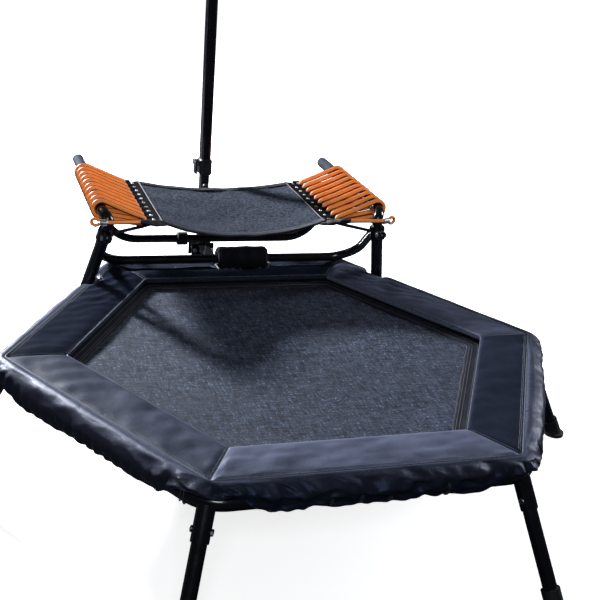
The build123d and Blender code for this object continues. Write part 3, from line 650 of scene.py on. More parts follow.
def orange_cord():
    n = Nodes("orange_cord")
    place = n.place()
    cloud = n.noise(place, 70, 6, 0.65)
    fine = n.noise(place, 1700, 3)
    colour = n.mix(n.fit(cloud, 0.3, 0.72, 0, 1), (0.98, 0.235, 0.034), (1.0, 0.39, 0.11))
    colour = n.mix(n.fit(n.noise(place, 300, 4), 0.62, 0.8, 0.0, 0.4), colour, (0.36, 0.12, 0.04))
    # Painted shade: the cord is darkened towards near-black on its undersides, between close strands
    # (ambient occlusion) and at its edges seen edge-on.
    _, _, up = n.split(n.add("ShaderNodeNewGeometry").outputs["Normal"])
    rim = n.add("ShaderNodeLayerWeight").outputs["Facing"]
    painted_shade = n.math("MULTIPLY", n.fit(up, -0.5, 0.2, 0.10, 1.0), n.crevice(0.030, 6))
    painted_shade = n.math("MULTIPLY", painted_shade, n.fit(rim, 0.18, 0.55, 1.0, 0.14))
    colour = n.mix(n.fit(painted_shade, 0.14, 0.50, 0.0, 1.0), (0.010, 0.005, 0.005), colour)
    # Painted glow: the cord emits its own colour, lighting itself beyond what the lamps give.
    n.set(Base_Color=colour, Roughness=n.fit(cloud, 0.3, 0.7, 0.36, 0.5), Specular_IOR_Level=0.4,
          Emission_Color=colour, Emission_Strength=0.20, Normal=n.bump(fine, 0.15, 0.0003))
    return n.material


def braided(name, base, lit):
    n = Nodes(name)
    place = n.place()
    braid = n.add("ShaderNodeTexVoronoi", in_Vector=place, in_Scale=620.0).outputs["Distance"]
    colour = n.mix(n.fit(braid, 0.1, 0.7, 0, 1), base, lit)
    n.set(Base_Color=colour, Roughness=0.6, Sheen_Weight=0.15, Normal=n.bump(braid, 0.6, 0.0006))
    return n.material


def thread():
    n = Nodes("sewing_thread")
    twist = n.noise(n.place(), 2400, 2)
    n.set(Base_Color=n.mix(twist, (0.10, 0.12, 0.17), (0.30, 0.34, 0.44)), Roughness=0.5,
          Normal=n.bump(twist, 0.5, 0.0003))
    return n.material


def piping_cloth(name, base, lit):
    n = Nodes(name)
    place = n.place()
    cloud = n.noise(place, 160, 6, 0.7)
    fine = n.noise(place, 1300, 3)
    n.set(Base_Color=n.mix(n.fit(cloud, 0.33, 0.68, 0, 1), base, lit), Roughness=0.5,
          Normal=n.bump(fine, 0.3, 0.0004))
    return n.material


def sleeve_fabric():
    n = Nodes("sleeve_fabric")
    place = n.place()
    knit = n.add("ShaderNodeTexVoronoi", in_Vector=place, in_Scale=900.0).outputs["Distance"]
    cloud = n.noise(place, 40, 5)
    colour = n.mix(n.fit(cloud, 0.3, 0.72, 0, 1), (0.0045, 0.0045, 0.0075), (0.013, 0.013, 0.019))
    n.set(Base_Color=colour, Roughness=n.fit(cloud, 0.3, 0.7, 0.72, 0.85),
          Specular_IOR_Level=0.12, Normal=n.bump(knit, 0.45, 0.0005))
    return n.material


def foam_material():
    n = Nodes("grip_foam")
    place = n.place()
    cells = n.add("ShaderNodeTexVoronoi", in_Vector=place, in_Scale=520.0).outputs["Distance"]
    cloud = n.noise(place, 25, 5)
    colour = n.mix(n.fit(cloud, 0.3, 0.7, 0, 1), (0.010, 0.010, 0.012), (0.026, 0.026, 0.030))
    n.set(Base_Color=colour, Roughness=0.88, Specular_IOR_Level=0.25, Normal=n.bump(cells, 0.7, 0.0008))
    return n.material


# ---- safety pad ---------------------------------------------------------------------------
COLUMNS = 96                                # along one side of the hexagon
# Painted sheen per side: how light each side's top panel and skirt are painted, standing in for the light
# the satin reflects, not a property of the cloth.
PANEL_PAINTED_SHEEN = {0: 0.95, 1: 0.02, 2: 0.02, 3: 0.36, 4: 0.90, 5: 0.06}     # how light each side's panel looks
SKIRT_PAINTED_SHEEN = {0: 0.30, 1: 0.03, 2: 0.20, 3: 0.60, 4: 0.18, 5: 0.50}


def half_side(distance):
    return distance * np.tan(pi / 6)


def leg_distance(side, along):
    """Distance along a side from the step leg that stands on it, if any, in metres."""
    metres = np.asarray(along) * half_side(TUBE_SIDE)
    if side == REAR_RIGHT:
        return np.abs(metres - LEG_ALONG)
    if side == REAR_LEFT:
        return np.abs(metres + LEG_ALONG)
    return np.full(np.shape(along), 1.0)


def seam_distance(side, along):
    """Where a panel's outer seam runs: it steps in at the step legs and at the centre clamp."""
    cut = 1 - smooth(0.026, 0.044, leg_distance(side, along))
    outer = PAD_SEAM - 0.0115 * cut
    if side == REAR:
        outer = outer - 0.0325 * sleeve_mask(-np.asarray(along) * half_side(PAD_SEAM))
    return outer


def sleeve_mask(x):
    """1 where the pad leaves a gap for the padded sleeve, 0 beside it."""
    return smooth(SLEEVE_X[0] - 0.013, SLEEVE_X[0] - 0.003, x) * smooth(
        SLEEVE_X[1] + 0.013, SLEEVE_X[1] + 0.003, x)


def panel_profile(t_rows):
    """Top rows run from the inner edge (0) to the outer seam (1); the bottom rows come back."""
    top = [(t, 0.0042 * (1 - (2 * t - 1) ** 4) * smooth(0, 0.12, t + 0.04)) for t in t_rows]
    edge_out = [(1.0, -0.004), (0.985, -0.010)]
    bottom = [(t, -PAD_THICK + 0.001 * sin(pi * t)) for t in (0.9, 0.7, 0.5, 0.3, 0.12, 0.04)]
    edge_in = [(-0.002, -0.0125), (-0.010, -0.0085), (-0.006, -0.0035)]
    return np.array(top + edge_out + bottom + edge_in), len(top)


def panel_wrinkles(side, along, t, place):
    """Height of the folds in one top panel."""
    soft = waves(place, 0.11, 9, 11 + side) * 0.0011 + waves(place, 0.035, 9, 31 + side) * 0.0005
    long_fold = waves(place, 0.05, 7, 51 + side, stretch=(0.35, 1.5, 1)) * 0.0007
    folds = soft + long_fold
    corner = np.minimum(1 - along, 1 + along)
    radial_fold = np.sin(t * 17 + side) * np.exp(-corner * 14) * 0.0022 * smooth(0.35, 1, t)
    folds = folds + radial_fold
    if side in (REAR_RIGHT, REAR_LEFT):         # ridges that run out from the step leg
        near = np.exp(-(leg_distance(side, along) / 0.17) ** 2) * smooth(0.05, 0.45, t)
        sign = 1 if side == REAR_RIGHT else -1
        slant = along * half_side(TUBE_SIDE) * sign * 0.42 + PAD_WIDTH * t
        swing = np.sin(slant * pi / 0.034 + 0.8 * waves(place, 0.10, 5, 71))
        ridge = 1.0 - 2.2 * np.abs(swing) ** 0.8
        big = 0.0095 if side == REAR_RIGHT else 0.0050
        folds = folds + near * big * (ridge * 0.6 + 0.25)
    return folds


def cover_panels(material):
    """Six mitred top panels, each a flat stuffed tube, as one sewn piece."""
    t_rows = np.r_[0.0, 0.02, np.linspace(0.06, 0.94, 17), 0.975, 1.0]
    profile, top_rows = panel_profile(t_rows)
    mesh = Mesh()
    pins, growth, painted_sheen, edge, cloth = [], [], [], [], []
    along = np.sin(np.linspace(-pi / 2, pi / 2, COLUMNS) * 0.88) / np.sin(pi / 2 * 0.88)
    for side in range(6):
        t, rise = profile[:, :1], profile[:, 1:2]
        reach = seam_distance(side, along)[None, :]
        distance = PAD_INNER + t * (reach - PAD_INNER)
        angle = side_angle(side, along)[None, :]
        corner = 0.004 + 0.010 * smooth(0.6, 1.0, t)
        radius = hex_radius(angle + 0 * distance, distance, corner + 0 * distance)
        mitre = (1 - np.abs(along))[None, :] * half_side(PAD_SEAM)
        crown = 0.35 + 0.65 * smooth(0, 0.022, mitre)
        z = TOP + np.where(rise > 0, rise * crown, rise + 0 * crown)
        z = z - 0.0024 * np.exp(-(mitre / 0.004) ** 2) * (np.arange(len(profile)) < top_rows)[:, None]
        droop = 0.0042 * smooth(-0.2, 0.5, np.sin(angle)) * np.exp(-(np.clip(t, 0, 1) / 0.22) ** 2)
        points = polar(angle + 0 * distance, radius, z - droop)
        flat = points.reshape(-1, 3)
        on_top = np.repeat(np.arange(len(profile)) < top_rows, COLUMNS)
        t_all = np.repeat(np.clip(profile[:, 0], 0, 1), COLUMNS)
        along_all = np.tile(along, len(profile))
        held = smooth(0.0, 0.12, t_all) * smooth(1.0, 0.93, t_all)
        held = held * smooth(0, 0.05, 1 - np.abs(along_all))
        folds = np.where(on_top, panel_wrinkles(side, along_all, t_all, flat) * held, 0)
        flat[:, 2] += folds
        mesh.add(flat, grid_faces(len(profile), COLUMNS, wrap_rows=True))
        free = on_top & (t_all > 0.05) & (t_all < 0.95) & (np.abs(along_all) < 0.985)
        pins.append(np.where(free, 0.0, 1.0))
        near_leg = np.exp(-(leg_distance(side, along_all) / 0.14) ** 2) * smooth(0.2, 0.8, t_all)
        growth.append(np.clip(0.10 + 0.30 * near_leg, 0, 1) * on_top)
        # Painted sheen: each panel's lightness, a little lighter towards one end, lighter on fold ridges
        # and darker in fold hollows, as the satin would catch the light.
        painted_sheen.append(PANEL_PAINTED_SHEEN[side] * (1 + 0.10 * along_all) * (1 + 0.8 * np.clip(folds / 0.006, -0.9, 1)))
        line = np.minimum.reduce([t_all * PAD_WIDTH, (1 - t_all) * PAD_WIDTH,
                                  (1 - np.abs(along_all)) * half_side(PAD_SEAM) * 1.4])
        edge.append(np.exp(-(line / 0.0032) ** 2))
        cloth.append(np.stack([along_all * half_side(PAD_SEAM), t_all * PAD_WIDTH, 0 * t_all], 1))
    obj = piece("pad_cover_panels", mesh.all_verts(), mesh.faces, material)
    settle(obj, np.concatenate(pins), np.concatenate(growth), 14, 0.005)
    set_coords(obj, clear_cover(coords(obj)))
    mark(obj, "painted_lustre", np.concatenate(painted_sheen))
    mark(obj, "edge", np.concatenate(edge))
    mark(obj, "cloth", np.concatenate(cloth))
    refine(obj)
    finish_soft(obj, ("pad_cover", "pad_foam"))
    return obj


def finish_soft(obj, cad):
    """Bind a piece to the frame once its cloth has settled."""
    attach(obj, "frame")
    if cad:
        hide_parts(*cad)


def rear_sag(co):
    """The front cross tube and the sleeve press the rear panel down towards its outer edge."""
    co = np.array(co)
    lowest = TOP - PAD_THICK - 0.0020
    down = 0.0165 * smooth(0.468, 0.524, co[:, 1]) * smooth(0.34, 0.26, np.abs(co[:, 0]))
    down = down * smooth(TOP - 0.030, TOP - 0.006, co[:, 2])
    co[:, 2] = np.maximum(co[:, 2] - down, np.minimum(co[:, 2], lowest))
    return co


def clear_cover(co):
    """Keep the cover off the front cross tube, the clamp under the sleeve and the frame tube."""
    co = rear_sag(co)
    co = keep_off(co, front_tube_line()[1:-1], 0.0142, only_down=True)
    beside = keep_off(co, [(x, SLEEVE_Y, SLEEVE_Z) for x in SLEEVE_X], SLEEVE_R + 0.0012)
    under = (co[:, 0] > SLEEVE_X[0] - 0.003) & (co[:, 0] < SLEEVE_X[1] + 0.003)
    co[under] = beside[under]
    return keep_off(co, frame_tube_line(), TUBE_R + 0.0012)


SKIRT_PROFILE = [(0.0000, -0.0012), (0.0060, 0.0008), (0.0125, 0.0000), (0.0200, -0.0042),
                 (0.0280, -0.0110), (0.0340, -0.0210), (0.0368, -0.0340), (0.0365, -0.0480),
                 (0.0345, -0.0630), (0.0300, -0.0750), (0.0225, -0.0810), (0.0150, -0.0790)]
SKIRT_ROWS = 27
OPENING = (0.040, 0.170)                    # half width of a corner's opening, and where it ends


def corner_opening(along):
    """1 where the skirt is cut away round a leg, 0 along the sides."""
    from_corner = (1 - np.abs(along)) * half_side(SKIRT_SIDE)
    return 1 - smooth(OPENING[0], OPENING[1], from_corner)


def skirt_grid():
    """Angle, distance, height and masks of the gathered skirt, row by row."""
    steps = 80                                  # the profile, finely divided
    rows = through(SKIRT_PROFILE, steps)
    along = np.linspace(-1, 1, 84, endpoint=False)
    angles, reach, height, gather, notch_all, side_all = [], [], [], [], [], []
    s = np.linspace(0, 1, SKIRT_ROWS)
    for side in range(6):
        cut = 0.50 - 0.12 * np.sin(side_angle(side, along))
        end = 1 - cut * corner_opening(along)
        notch = 1 - smooth(0.023, 0.037, leg_distance(side, along))
        if side == REAR:
            notch = sleeve_mask(-along * half_side(SKIRT_SIDE))
        t = s[:, None] * end[None, :] * (steps - 1)
        out = np.interp(t, np.arange(steps), rows[:, 0])
        turn = side_angle(side, along) - radians(SIDE_ANGLES[5])
        turn = np.arctan2(np.sin(turn), np.cos(turn))
        out = out * (1 + 0.34 * np.exp(-(turn / 0.42) ** 2))[None, :]
        down = np.interp(t, np.arange(steps), rows[:, 1])
        down = down * (0.935 + 0.19 * np.sin(side_angle(side, along)))[None, :]
        tuck_out = 0.0015 * np.sin(s * pi)[:, None] + 0 * t
        tuck_down = -0.001 - 0.0125 * s[:, None] + 0 * t
        out = out * (1 - notch) + tuck_out * notch
        down = down * (1 - notch) + tuck_down * notch
        angles.append(np.broadcast_to(side_angle(side, along), t.shape))
        reach.append(seam_distance(side, along)[None, :] + out)
        height.append(TOP + down)
        gather.append(smooth(0.34, 0.62, s)[:, None] * (1 - 0.8 * notch)[None, :])
        notch_all.append(np.broadcast_to(notch, t.shape))
        side_all.append(np.full(t.shape, side))
    return [np.concatenate(a, 1) for a in
            (angles, reach, height, gather, notch_all, side_all)], s


def cover_skirt(material):
    """The gathered skirt, sewn to the panels and drawn in by elastic at its hem."""
    (angle, reach, z, gather, notch, side), s = skirt_grid()
    rows, cols = angle.shape
    s_all = np.repeat(s, cols).reshape(rows, cols)
    corner = 0.012 + 0.048 * smooth(0.0, 0.75, s_all)
    radius = hex_radius(angle, reach, corner)
    arc = np.arange(cols) / cols * 6 * 2 * half_side(SKIRT_SIDE)
    wander = np.interp(arc, np.linspace(0, arc[-1], 150), np.cumsum(RNG.normal(0, 1.1, 150)))
    folds = np.sin(2 * pi * arc / 0.033 + wander)
    folds = folds + 0.6 * np.sin(2 * pi * arc / 0.019 + 1.7 * wander + 4 * s_all)
    place = polar(angle, radius, z).reshape(-1, 3)
    strength = np.clip(0.9 + 0.75 * waves(place, 0.16, 7, 6).reshape(rows, cols), 0.1, 2.2)
    drape = waves(place, 0.10, 9, 7, stretch=(1, 1, 2.2)).reshape(rows, cols)
    radius = radius + folds * strength * 0.0019 * gather
    radius = radius + drape * 0.0013 * smooth(0.04, 0.2, s_all) * (1 - 0.8 * notch)
    crease = np.abs(waves(place, 0.055, 7, 8, stretch=(1, 1, 1.6))).reshape(rows, cols)
    crease = 1 - 1.8 * crease ** 0.7
    crumple = 0.0040 * smooth(-0.55, -0.95, np.sin(angle)) + 0.0016
    radius = radius + crease * crumple * smooth(0.06, 0.28, s_all) * (1 - 0.8 * notch)
    z = z + np.roll(folds, 2) * 0.0006 * gather * smooth(0.3, 0.6, s_all)
    points = polar(angle, radius, z).reshape(-1, 3)
    obj = piece("pad_cover_skirt", points, grid_faces(rows, cols, wrap_cols=True), material)
    pin = np.where((s_all < 0.16) | (s_all > 0.985), 1.0, 0.0)
    pin = np.maximum(pin, smooth(0.5, 0.9, notch))
    pin = np.maximum(pin, 0.12 * smooth(0.85, 0.97, s_all))
    uneven = smooth(-1, 1, waves(points, 0.3, 6, 5).reshape(rows, cols))
    growth = 0.62 * gather * (0.7 + 0.3 * uneven)
    settle(obj, pin.ravel(), growth.ravel(), 18, 0.010)
    co = keep_off(coords(obj), frame_tube_line(), TUBE_R + 0.0016)
    set_coords(obj, clear_cover(co))
    painted_sheen = np.array([SKIRT_PAINTED_SHEEN[int(i)] for i in side[0]])
    kernel = np.ones(9) / 9
    painted_sheen = np.convolve(np.r_[painted_sheen[-4:], painted_sheen, painted_sheen[:4]], kernel, "valid")
    # Painted sheen on the skirt: its upper band is painted light and fades to painted shade below the roll,
    # smoothed across the corners.
    mark(obj, "painted_lustre", (painted_sheen[None, :] * (0.95 - 0.80 * smooth(0.34, 0.60, s_all))).ravel())
    # Lighter bands at the seam, at the skirt's upper roll and at the hem: partly fraying, partly painted
    # highlight.
    worn = np.exp(-((s_all - 0.02) / 0.030) ** 2) + 0.65 * np.exp(-((s_all - 0.165) / 0.022) ** 2)
    worn = worn + 0.35 * np.exp(-((s_all - 0.97) / 0.02) ** 2)
    mark(obj, "edge", np.clip(worn, 0, 1).ravel())
    cloth = np.stack([np.broadcast_to(arc, s_all.shape), s_all * 0.1, 0 * s_all], -1)
    mark(obj, "cloth", cloth.reshape(-1, 3))
    hem = coords(obj).reshape(rows, cols, 3)[-3]
    thick = obj.modifiers.new("Thick", "SOLIDIFY")
    thick.thickness = 0.0011
    thick.offset = -1
    refine(obj)
    finish_soft(obj, ())
    return hem


def hem_cord(hem, material):
    """Elastic cord that runs in the skirt's hem and under the corners."""
    inward = hem.copy()
    radius = np.linalg.norm(inward[:, :2], axis=1)
    inward[:, :2] *= ((radius - 0.0045) / radius)[:, None]
    inward[:, 2] += 0.0015
    cord = even(np.vstack([inward, inward[:1]]), 420)[:-1]
    cord = keep_off(cord, frame_tube_line(), TUBE_R + 0.0042)
    verts, faces = tube(cord, 0.0019, 8, closed=True)
    piece("hem_elastic_cord", verts, faces, material, "frame", ("skirt_elastic",))


def seam_line(distance, height):
    """A line along the outer seam all the way round, offset outwards by `distance`."""
    lines = []
    along = np.linspace(-1, 1, 90, endpoint=False)
    for side in range(6):
        reach = seam_distance(side, along) + distance
        angle = side_angle(side, along)
        radius = hex_radius(angle, reach, np.full(len(along), 0.014 + max(distance, 0)))
        lines.append(polar(angle, radius, TOP + height))
    return clear_cover(np.vstack(lines))


def cover_piping(material):
    """Thin piping in the outer seam and at the inner edge."""
    mesh = Mesh()
    mesh.add(*tube(seam_line(0.0005, 0.0006), 0.0013, 8, closed=True))
    along = np.linspace(-1, 1, 60, endpoint=False)
    rings = []
    for side in range(6):
        angle = side_angle(side, along)
        rings.append(polar(angle, hex_radius(angle, PAD_INNER - 0.0004, 0.004), TOP - 0.0030))
    mesh.add(*tube(np.vstack(rings), 0.0012, 8, closed=True))
    piece("pad_cover_piping", mesh.all_verts(), mesh.faces, material, "frame", ())


def stitch_row(mesh, line, length=0.0030, gap=0.0016, radius=0.00034, lift=0.0003):
    """Short raised stitches along a line."""
    total = np.linalg.norm(np.diff(line, axis=0), axis=1).sum()
    count = int(total / (length + gap))
    fine = even(line, count * 3 + 1)
    arch = np.array([0, 1, 1, 0])[:, None] * (0, 0, lift)
    for i in range(count):
        a, b = fine[3 * i], fine[3 * i + 2]
        points = a + (b - a) * np.array([0, 0.25, 0.75, 1])[:, None] + arch
        mesh.add(*tube(points, radius, 4, caps=False))


def cover_stitches(material, panels):
    """Stitch rows beside the outer seam and beside each mitre, laid on the finished panels."""
    surface = BVHTree.FromObject(panels, bpy.context.evaluated_depsgraph_get())

    def laid(line):
        down = []
        for p in line:
            above = Vector((p[0], p[1] + CENTRE_Y, TOP + 0.03))
            hit = surface.ray_cast(above, Vector((0, 0, -1)))[0]
            down.append((p[0], p[1], (hit.z if hit else p[2]) + 0.00025))
        return np.array(down)

    mesh = Mesh()
    for side in range(6):
        along = np.linspace(-0.96, 0.96, 150)
        for inset in (0.0048, 0.0082):
            reach = seam_distance(side, along) - inset
            angle = side_angle(side, along)
            line = polar(angle, hex_radius(angle, reach, np.full(150, 0.010)), TOP)
            stitch_row(mesh, laid(line))
        for end in (-1, 1):
            steps = np.linspace(0.06, 0.93, 30)
            angle = side_angle(side, np.array([end]))[0]
            reach = PAD_INNER + steps * (PAD_SEAM - PAD_INNER)
            line = polar(np.full(30, angle), reach / COS30, TOP)
            shift = polar(np.array([radians(SIDE_ANGLES[side] - 90 * end)]), 0.0042, 0)[0]
            stitch_row(mesh, laid(line + shift))
    piece("pad_cover_stitches", mesh.all_verts(), mesh.faces, material, "frame", ())


def corner_ties(material):
    """Elastic cord knotted round the frame tube at the front left corner."""
    mesh = Mesh()
    for shift, tilt in ((0.050, 0.0), (0.058, 0.3)):
        turn = np.linspace(0, 2 * pi, 40, endpoint=False)
        centre = frame_tube_line()[240 - int(shift * 90)]
        ahead = np.array([cos(radians(330)), sin(radians(330)), 0])
        out = np.array([cos(radians(240)), sin(radians(240)), 0])
        r = TUBE_R + 0.0032
        loop = (centre + np.outer(np.cos(turn), out) * r + np.outer(np.sin(turn), (0, 0, 1)) * r
                + np.outer(np.sin(turn + 1) * tilt, ahead) * 0.012)
        mesh.add(*tube(loop, 0.0017, 8, closed=True))
    piece("corner_tie_cord", mesh.all_verts(), mesh.faces, material, "frame", ())


# ---- jumping mat --------------------------------------------------------------------------
def jumping_sheet(material):
    """The woven sheet: two faces and a rim, sagging a little with slack near its border."""
    angle = np.linspace(0, 2 * pi, 360, endpoint=False)
    sides = np.r_[np.linspace(0.006, 0.36, 40), np.linspace(0.366, MAT_SIDE, 12)]
    rings = []
    for lift, order in ((0, sides), (-0.0018, sides[::-1])):
        for side in order:
            radius = hex_radius(angle, np.full(360, side), np.full(360, min(0.02, side * 0.4)))
            ring = polar(angle, radius, MAT_Z - 0.0002 + lift)
            sag = 0.0045 * (1 - (side / MAT_SIDE) ** 2)
            slack = waves(ring, 0.16, 9, 3) * 0.0009 + waves(ring, 0.05, 7, 4) * 0.0003
            ring[:, 2] += -sag + slack * smooth(0.0, 0.12, side)
            rings.append(ring)
    verts = np.vstack(rings)
    faces = grid_faces(len(rings), 360, wrap_cols=True)
    last = (len(rings) - 1) * 360
    faces.append(list(range(360))[::-1])
    faces.append([last + i for i in range(360)])
    piece("jumping_mat_sheet", verts, faces, material, "jumping_mat", ("jump_mat",), 40)


def hex_loop(side, corner, z):
    angle = np.linspace(0, 2 * pi, 480, endpoint=False)
    return polar(angle, hex_radius(angle, side, corner), z)


def mat_border_band(material, thread_material):
    """Doubled webbing round the woven sheet, with raised hems, and a tab through every ring."""
    inner, outer = MAT_SIDE - 0.005, BORDER_SIDE
    outline = [(inner, -0.0008), (inner + 0.0006, 0.0016), (inner + 0.004, 0.0021),
               (inner + 0.010, 0.0015), (inner + 0.024, 0.0014), (outer - 0.010, 0.0016),
               (outer - 0.004, 0.0025), (outer - 0.0005, 0.0014), (outer, -0.0010),
               (outer - 0.002, -0.0030), (outer - 0.02, -0.0032), (inner + 0.01, -0.0032), (inner, -0.0028)]
    outline = even(np.vstack([through(outline, 30), outline[:1]]), 34)[:-1]
    angle = np.linspace(0, 2 * pi, 720, endpoint=False)
    rings = []
    for side, rise in outline:
        share = (side - inner) / (outer - inner)
        ring = polar(angle, hex_radius(angle, side, 0.02 + 0.01 * share), MAT_Z)
        ragged = waves(ring, 0.045, 9, 21) * 0.0014 * (1 - smooth(0.0, 0.4, share))
        radius = np.linalg.norm(ring[:, :2], axis=1)
        ring[:, :2] *= (1 + ragged / radius)[:, None]
        ring[:, 2] += rise + waves(ring, 0.07, 9, 22) * 0.0007 * smooth(0, 0.3, share)
        rings.append(ring)
    mesh = Mesh()
    mesh.add(np.vstack(rings), grid_faces(len(rings), 720, True, True))
    for angle_deg, offset in loop_places():
        mesh.add(*ring_tab(angle_deg, offset))
    piece("jumping_mat_border", mesh.all_verts(), mesh.faces, material, "jumping_mat",
          ("mat_border",))
    threads = Mesh()
    for side in (MAT_SIDE + 0.0035, MAT_SIDE + 0.0105, MAT_SIDE + 0.024):
        line = hex_loop(side, 0.022, MAT_Z + 0.0026)
        line[:, 2] += waves(line, 0.07, 9, 22) * 0.0006 - 0.0006 * (side > MAT_SIDE + 0.01)
        stitch_row(threads, np.vstack([line, line[:1]]), 0.0035, 0.0022, 0.00035)
    piece("jumping_mat_stitches", threads.all_verts(), threads.faces, thread_material,
          "jumping_mat", ())


LOOPS_PER_SIDE, LOOP_PITCH = 8, 0.060
LOOP_R = 0.0035                             # black elastic cord
RING_WIRE_R = 0.002
RING_SIDE, RING_R = BORDER_SIDE + 0.0113, 0.009
HOOK_SIDE = RING_SIDE + RING_R


def loop_places():
    """(side angle, offset along the side) of every elastic loop."""
    return [(a, (i - (LOOPS_PER_SIDE - 1) / 2) * LOOP_PITCH)
            for a in SIDE_ANGLES for i in range(LOOPS_PER_SIDE)]


def on_side(angle_deg, offset, local):
    """Local (outwards, along, up) points placed on a side of the hexagon."""
    a = radians(angle_deg)
    local = np.asarray(local, float)
    out, along, z = local[:, 0], local[:, 1] + offset, local[:, 2]
    return np.stack([out * cos(a) - along * sin(a), out * sin(a) + along * cos(a), z], 1)


def ring_tab(angle_deg, offset):
    """Webbing folded round the inner part of one ring."""
    wire = RING_SIDE - RING_R
    turn = np.linspace(pi * 0.62, -pi * 0.62, 9)
    curl = [(wire + 0.0031 * cos(t), 0, MAT_Z - 0.001 + 0.0031 * sin(t)) for t in turn]
    path = [(BORDER_SIDE - 0.014, 0, MAT_Z + 0.0026), (BORDER_SIDE - 0.004, 0, MAT_Z + 0.0031)] + curl
    path += [(BORDER_SIDE - 0.004, 0, MAT_Z - 0.0046), (BORDER_SIDE - 0.014, 0, MAT_Z - 0.0042)]
    path = on_side(angle_deg, offset, even(path, 22))
    a = radians(angle_deg)
    return ribbon(path, (-sin(a), cos(a), 0), 0.013, 0.0011, 2)


def taut_loop(big, big_r, small, small_r, count):
    """Closed loop in a plane round two circles, each (out, up)."""
    big, small = np.array(big), np.array(small)
    along = small - big
    length = np.linalg.norm(along)
    along /= length
    up = np.array([-along[1], along[0]])
    spread = np.arccos((big_r - small_r) / length)
    far = np.linspace(spread, -spread, 14)
    near = np.linspace(-spread, -2 * pi + spread, 26)
    arc = [small + small_r * (along * cos(t) + up * sin(t)) for t in far]
    back = [big + big_r * (along * cos(t) + up * sin(t)) for t in near]
    closed = np.array(arc + back + arc[:1])
    return even(closed, count + 1)[:-1]


def mat_elastics(material):
    """48 elastic cords between the rings and the frame tube, one object for each side."""
    flat = taut_loop((TUBE_SIDE, TUBE_Z), TUBE_R + LOOP_R + 0.0003,
                     (HOOK_SIDE, MAT_Z - 0.001), RING_WIRE_R + LOOP_R + 0.0003, 60)
    for side, angle in enumerate(SIDE_ANGLES):
        mesh = Mesh()
        for place_angle, offset in loop_places():
            if place_angle != angle:
                continue
            drift = RNG.normal(0, 0.0008, 2)
            local = np.stack([flat[:, 0], drift[0] + 0 * flat[:, 0], flat[:, 1]], 1)
            mesh.add(*tube(on_side(angle, offset, local), LOOP_R, 10, closed=True))
        obj = piece(f"mat_elastics_{side}", mesh.all_verts(), mesh.faces, material)
        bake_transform(obj)
        if side == 0:
            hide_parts("mat_bungee_loops")


# ---- step platform ------------------------------------------------------------------------
SAG_FRONT, SAG_REAR = 0.043, 0.018


def step_height(x, y):
    """Top of the step mat: it hangs deeper at the front than at the rear."""
    share = smooth(MAT_Y0, MAT_Y1, y)
    sag = SAG_FRONT * (1 - share) + SAG_REAR * share
    across = np.clip(np.abs(x) / STRIP_IN, 0, 1)
    tread = 0.0035 * bump(x, 0.02, 0.1) * bump(y, 0.56, 0.1)
    return ROD_Z + 0.0016 - sag * (1 - across ** 2.3) - tread


def step_sheet(material):
    """The felted platform, a closed sheet about 3 mm thick with a bowed front and rear edge."""
    cols, rows = 121, 91
    uu, vv = np.meshgrid(np.linspace(-1, 1, cols), np.linspace(0, 1, rows))
    x = uu * (STRIP_IN + 0.006)
    bow = 0.007 * (1 - uu ** 2)
    y = MAT_Y0 + 0.004 + bow + vv * (MAT_Y1 - MAT_Y0 - 0.008 - 2 * bow * 0.8)
    z = step_height(x, y)
    place = np.stack([x, y, z], -1).reshape(-1, 3)
    z = z + (waves(place, 0.13, 9, 61) * 0.0010 + waves(place, 0.04, 9, 62) * 0.0004).reshape(z.shape)
    z = z - 0.0022 * smooth(STRIP_IN - 0.002, STRIP_IN + 0.003, np.abs(x))
    top = np.stack([x, y, z], -1)
    low = top - (0, 0, 0.0028)
    verts = np.vstack([top.reshape(-1, 3), low.reshape(-1, 3)])
    n = rows * cols
    faces = grid_faces(rows, cols) + grid_faces(rows, cols, first=n, flip=True)
    rim = list(range(cols)) + [r * cols + cols - 1 for r in range(1, rows)]
    rim += [n - cols + c for c in range(cols - 2, -1, -1)]
    rim += [r * cols for r in range(rows - 2, 0, -1)]
    for a, b in zip(rim, rim[1:] + rim[:1]):
        faces.append([a, a + n, b + n, b])
    piece("step_mat_felt", verts, faces, material, "step_platform", ("step_mat",), 50)


def fold_over_edge(inward):
    """Path round the front or rear edge of the felt, seen from the side: (y shift, z shift)."""
    turn = np.linspace(pi / 2, -pi / 2, 9)
    curl = [(-inward * 0.0040 * cos(t), -0.0014 + 0.0040 * sin(t)) for t in turn]
    return [(inward * 0.022, 0.0010), (inward * 0.012, 0.0016)] + curl + [
        (inward * 0.012, -0.0048), (inward * 0.022, -0.0042)]


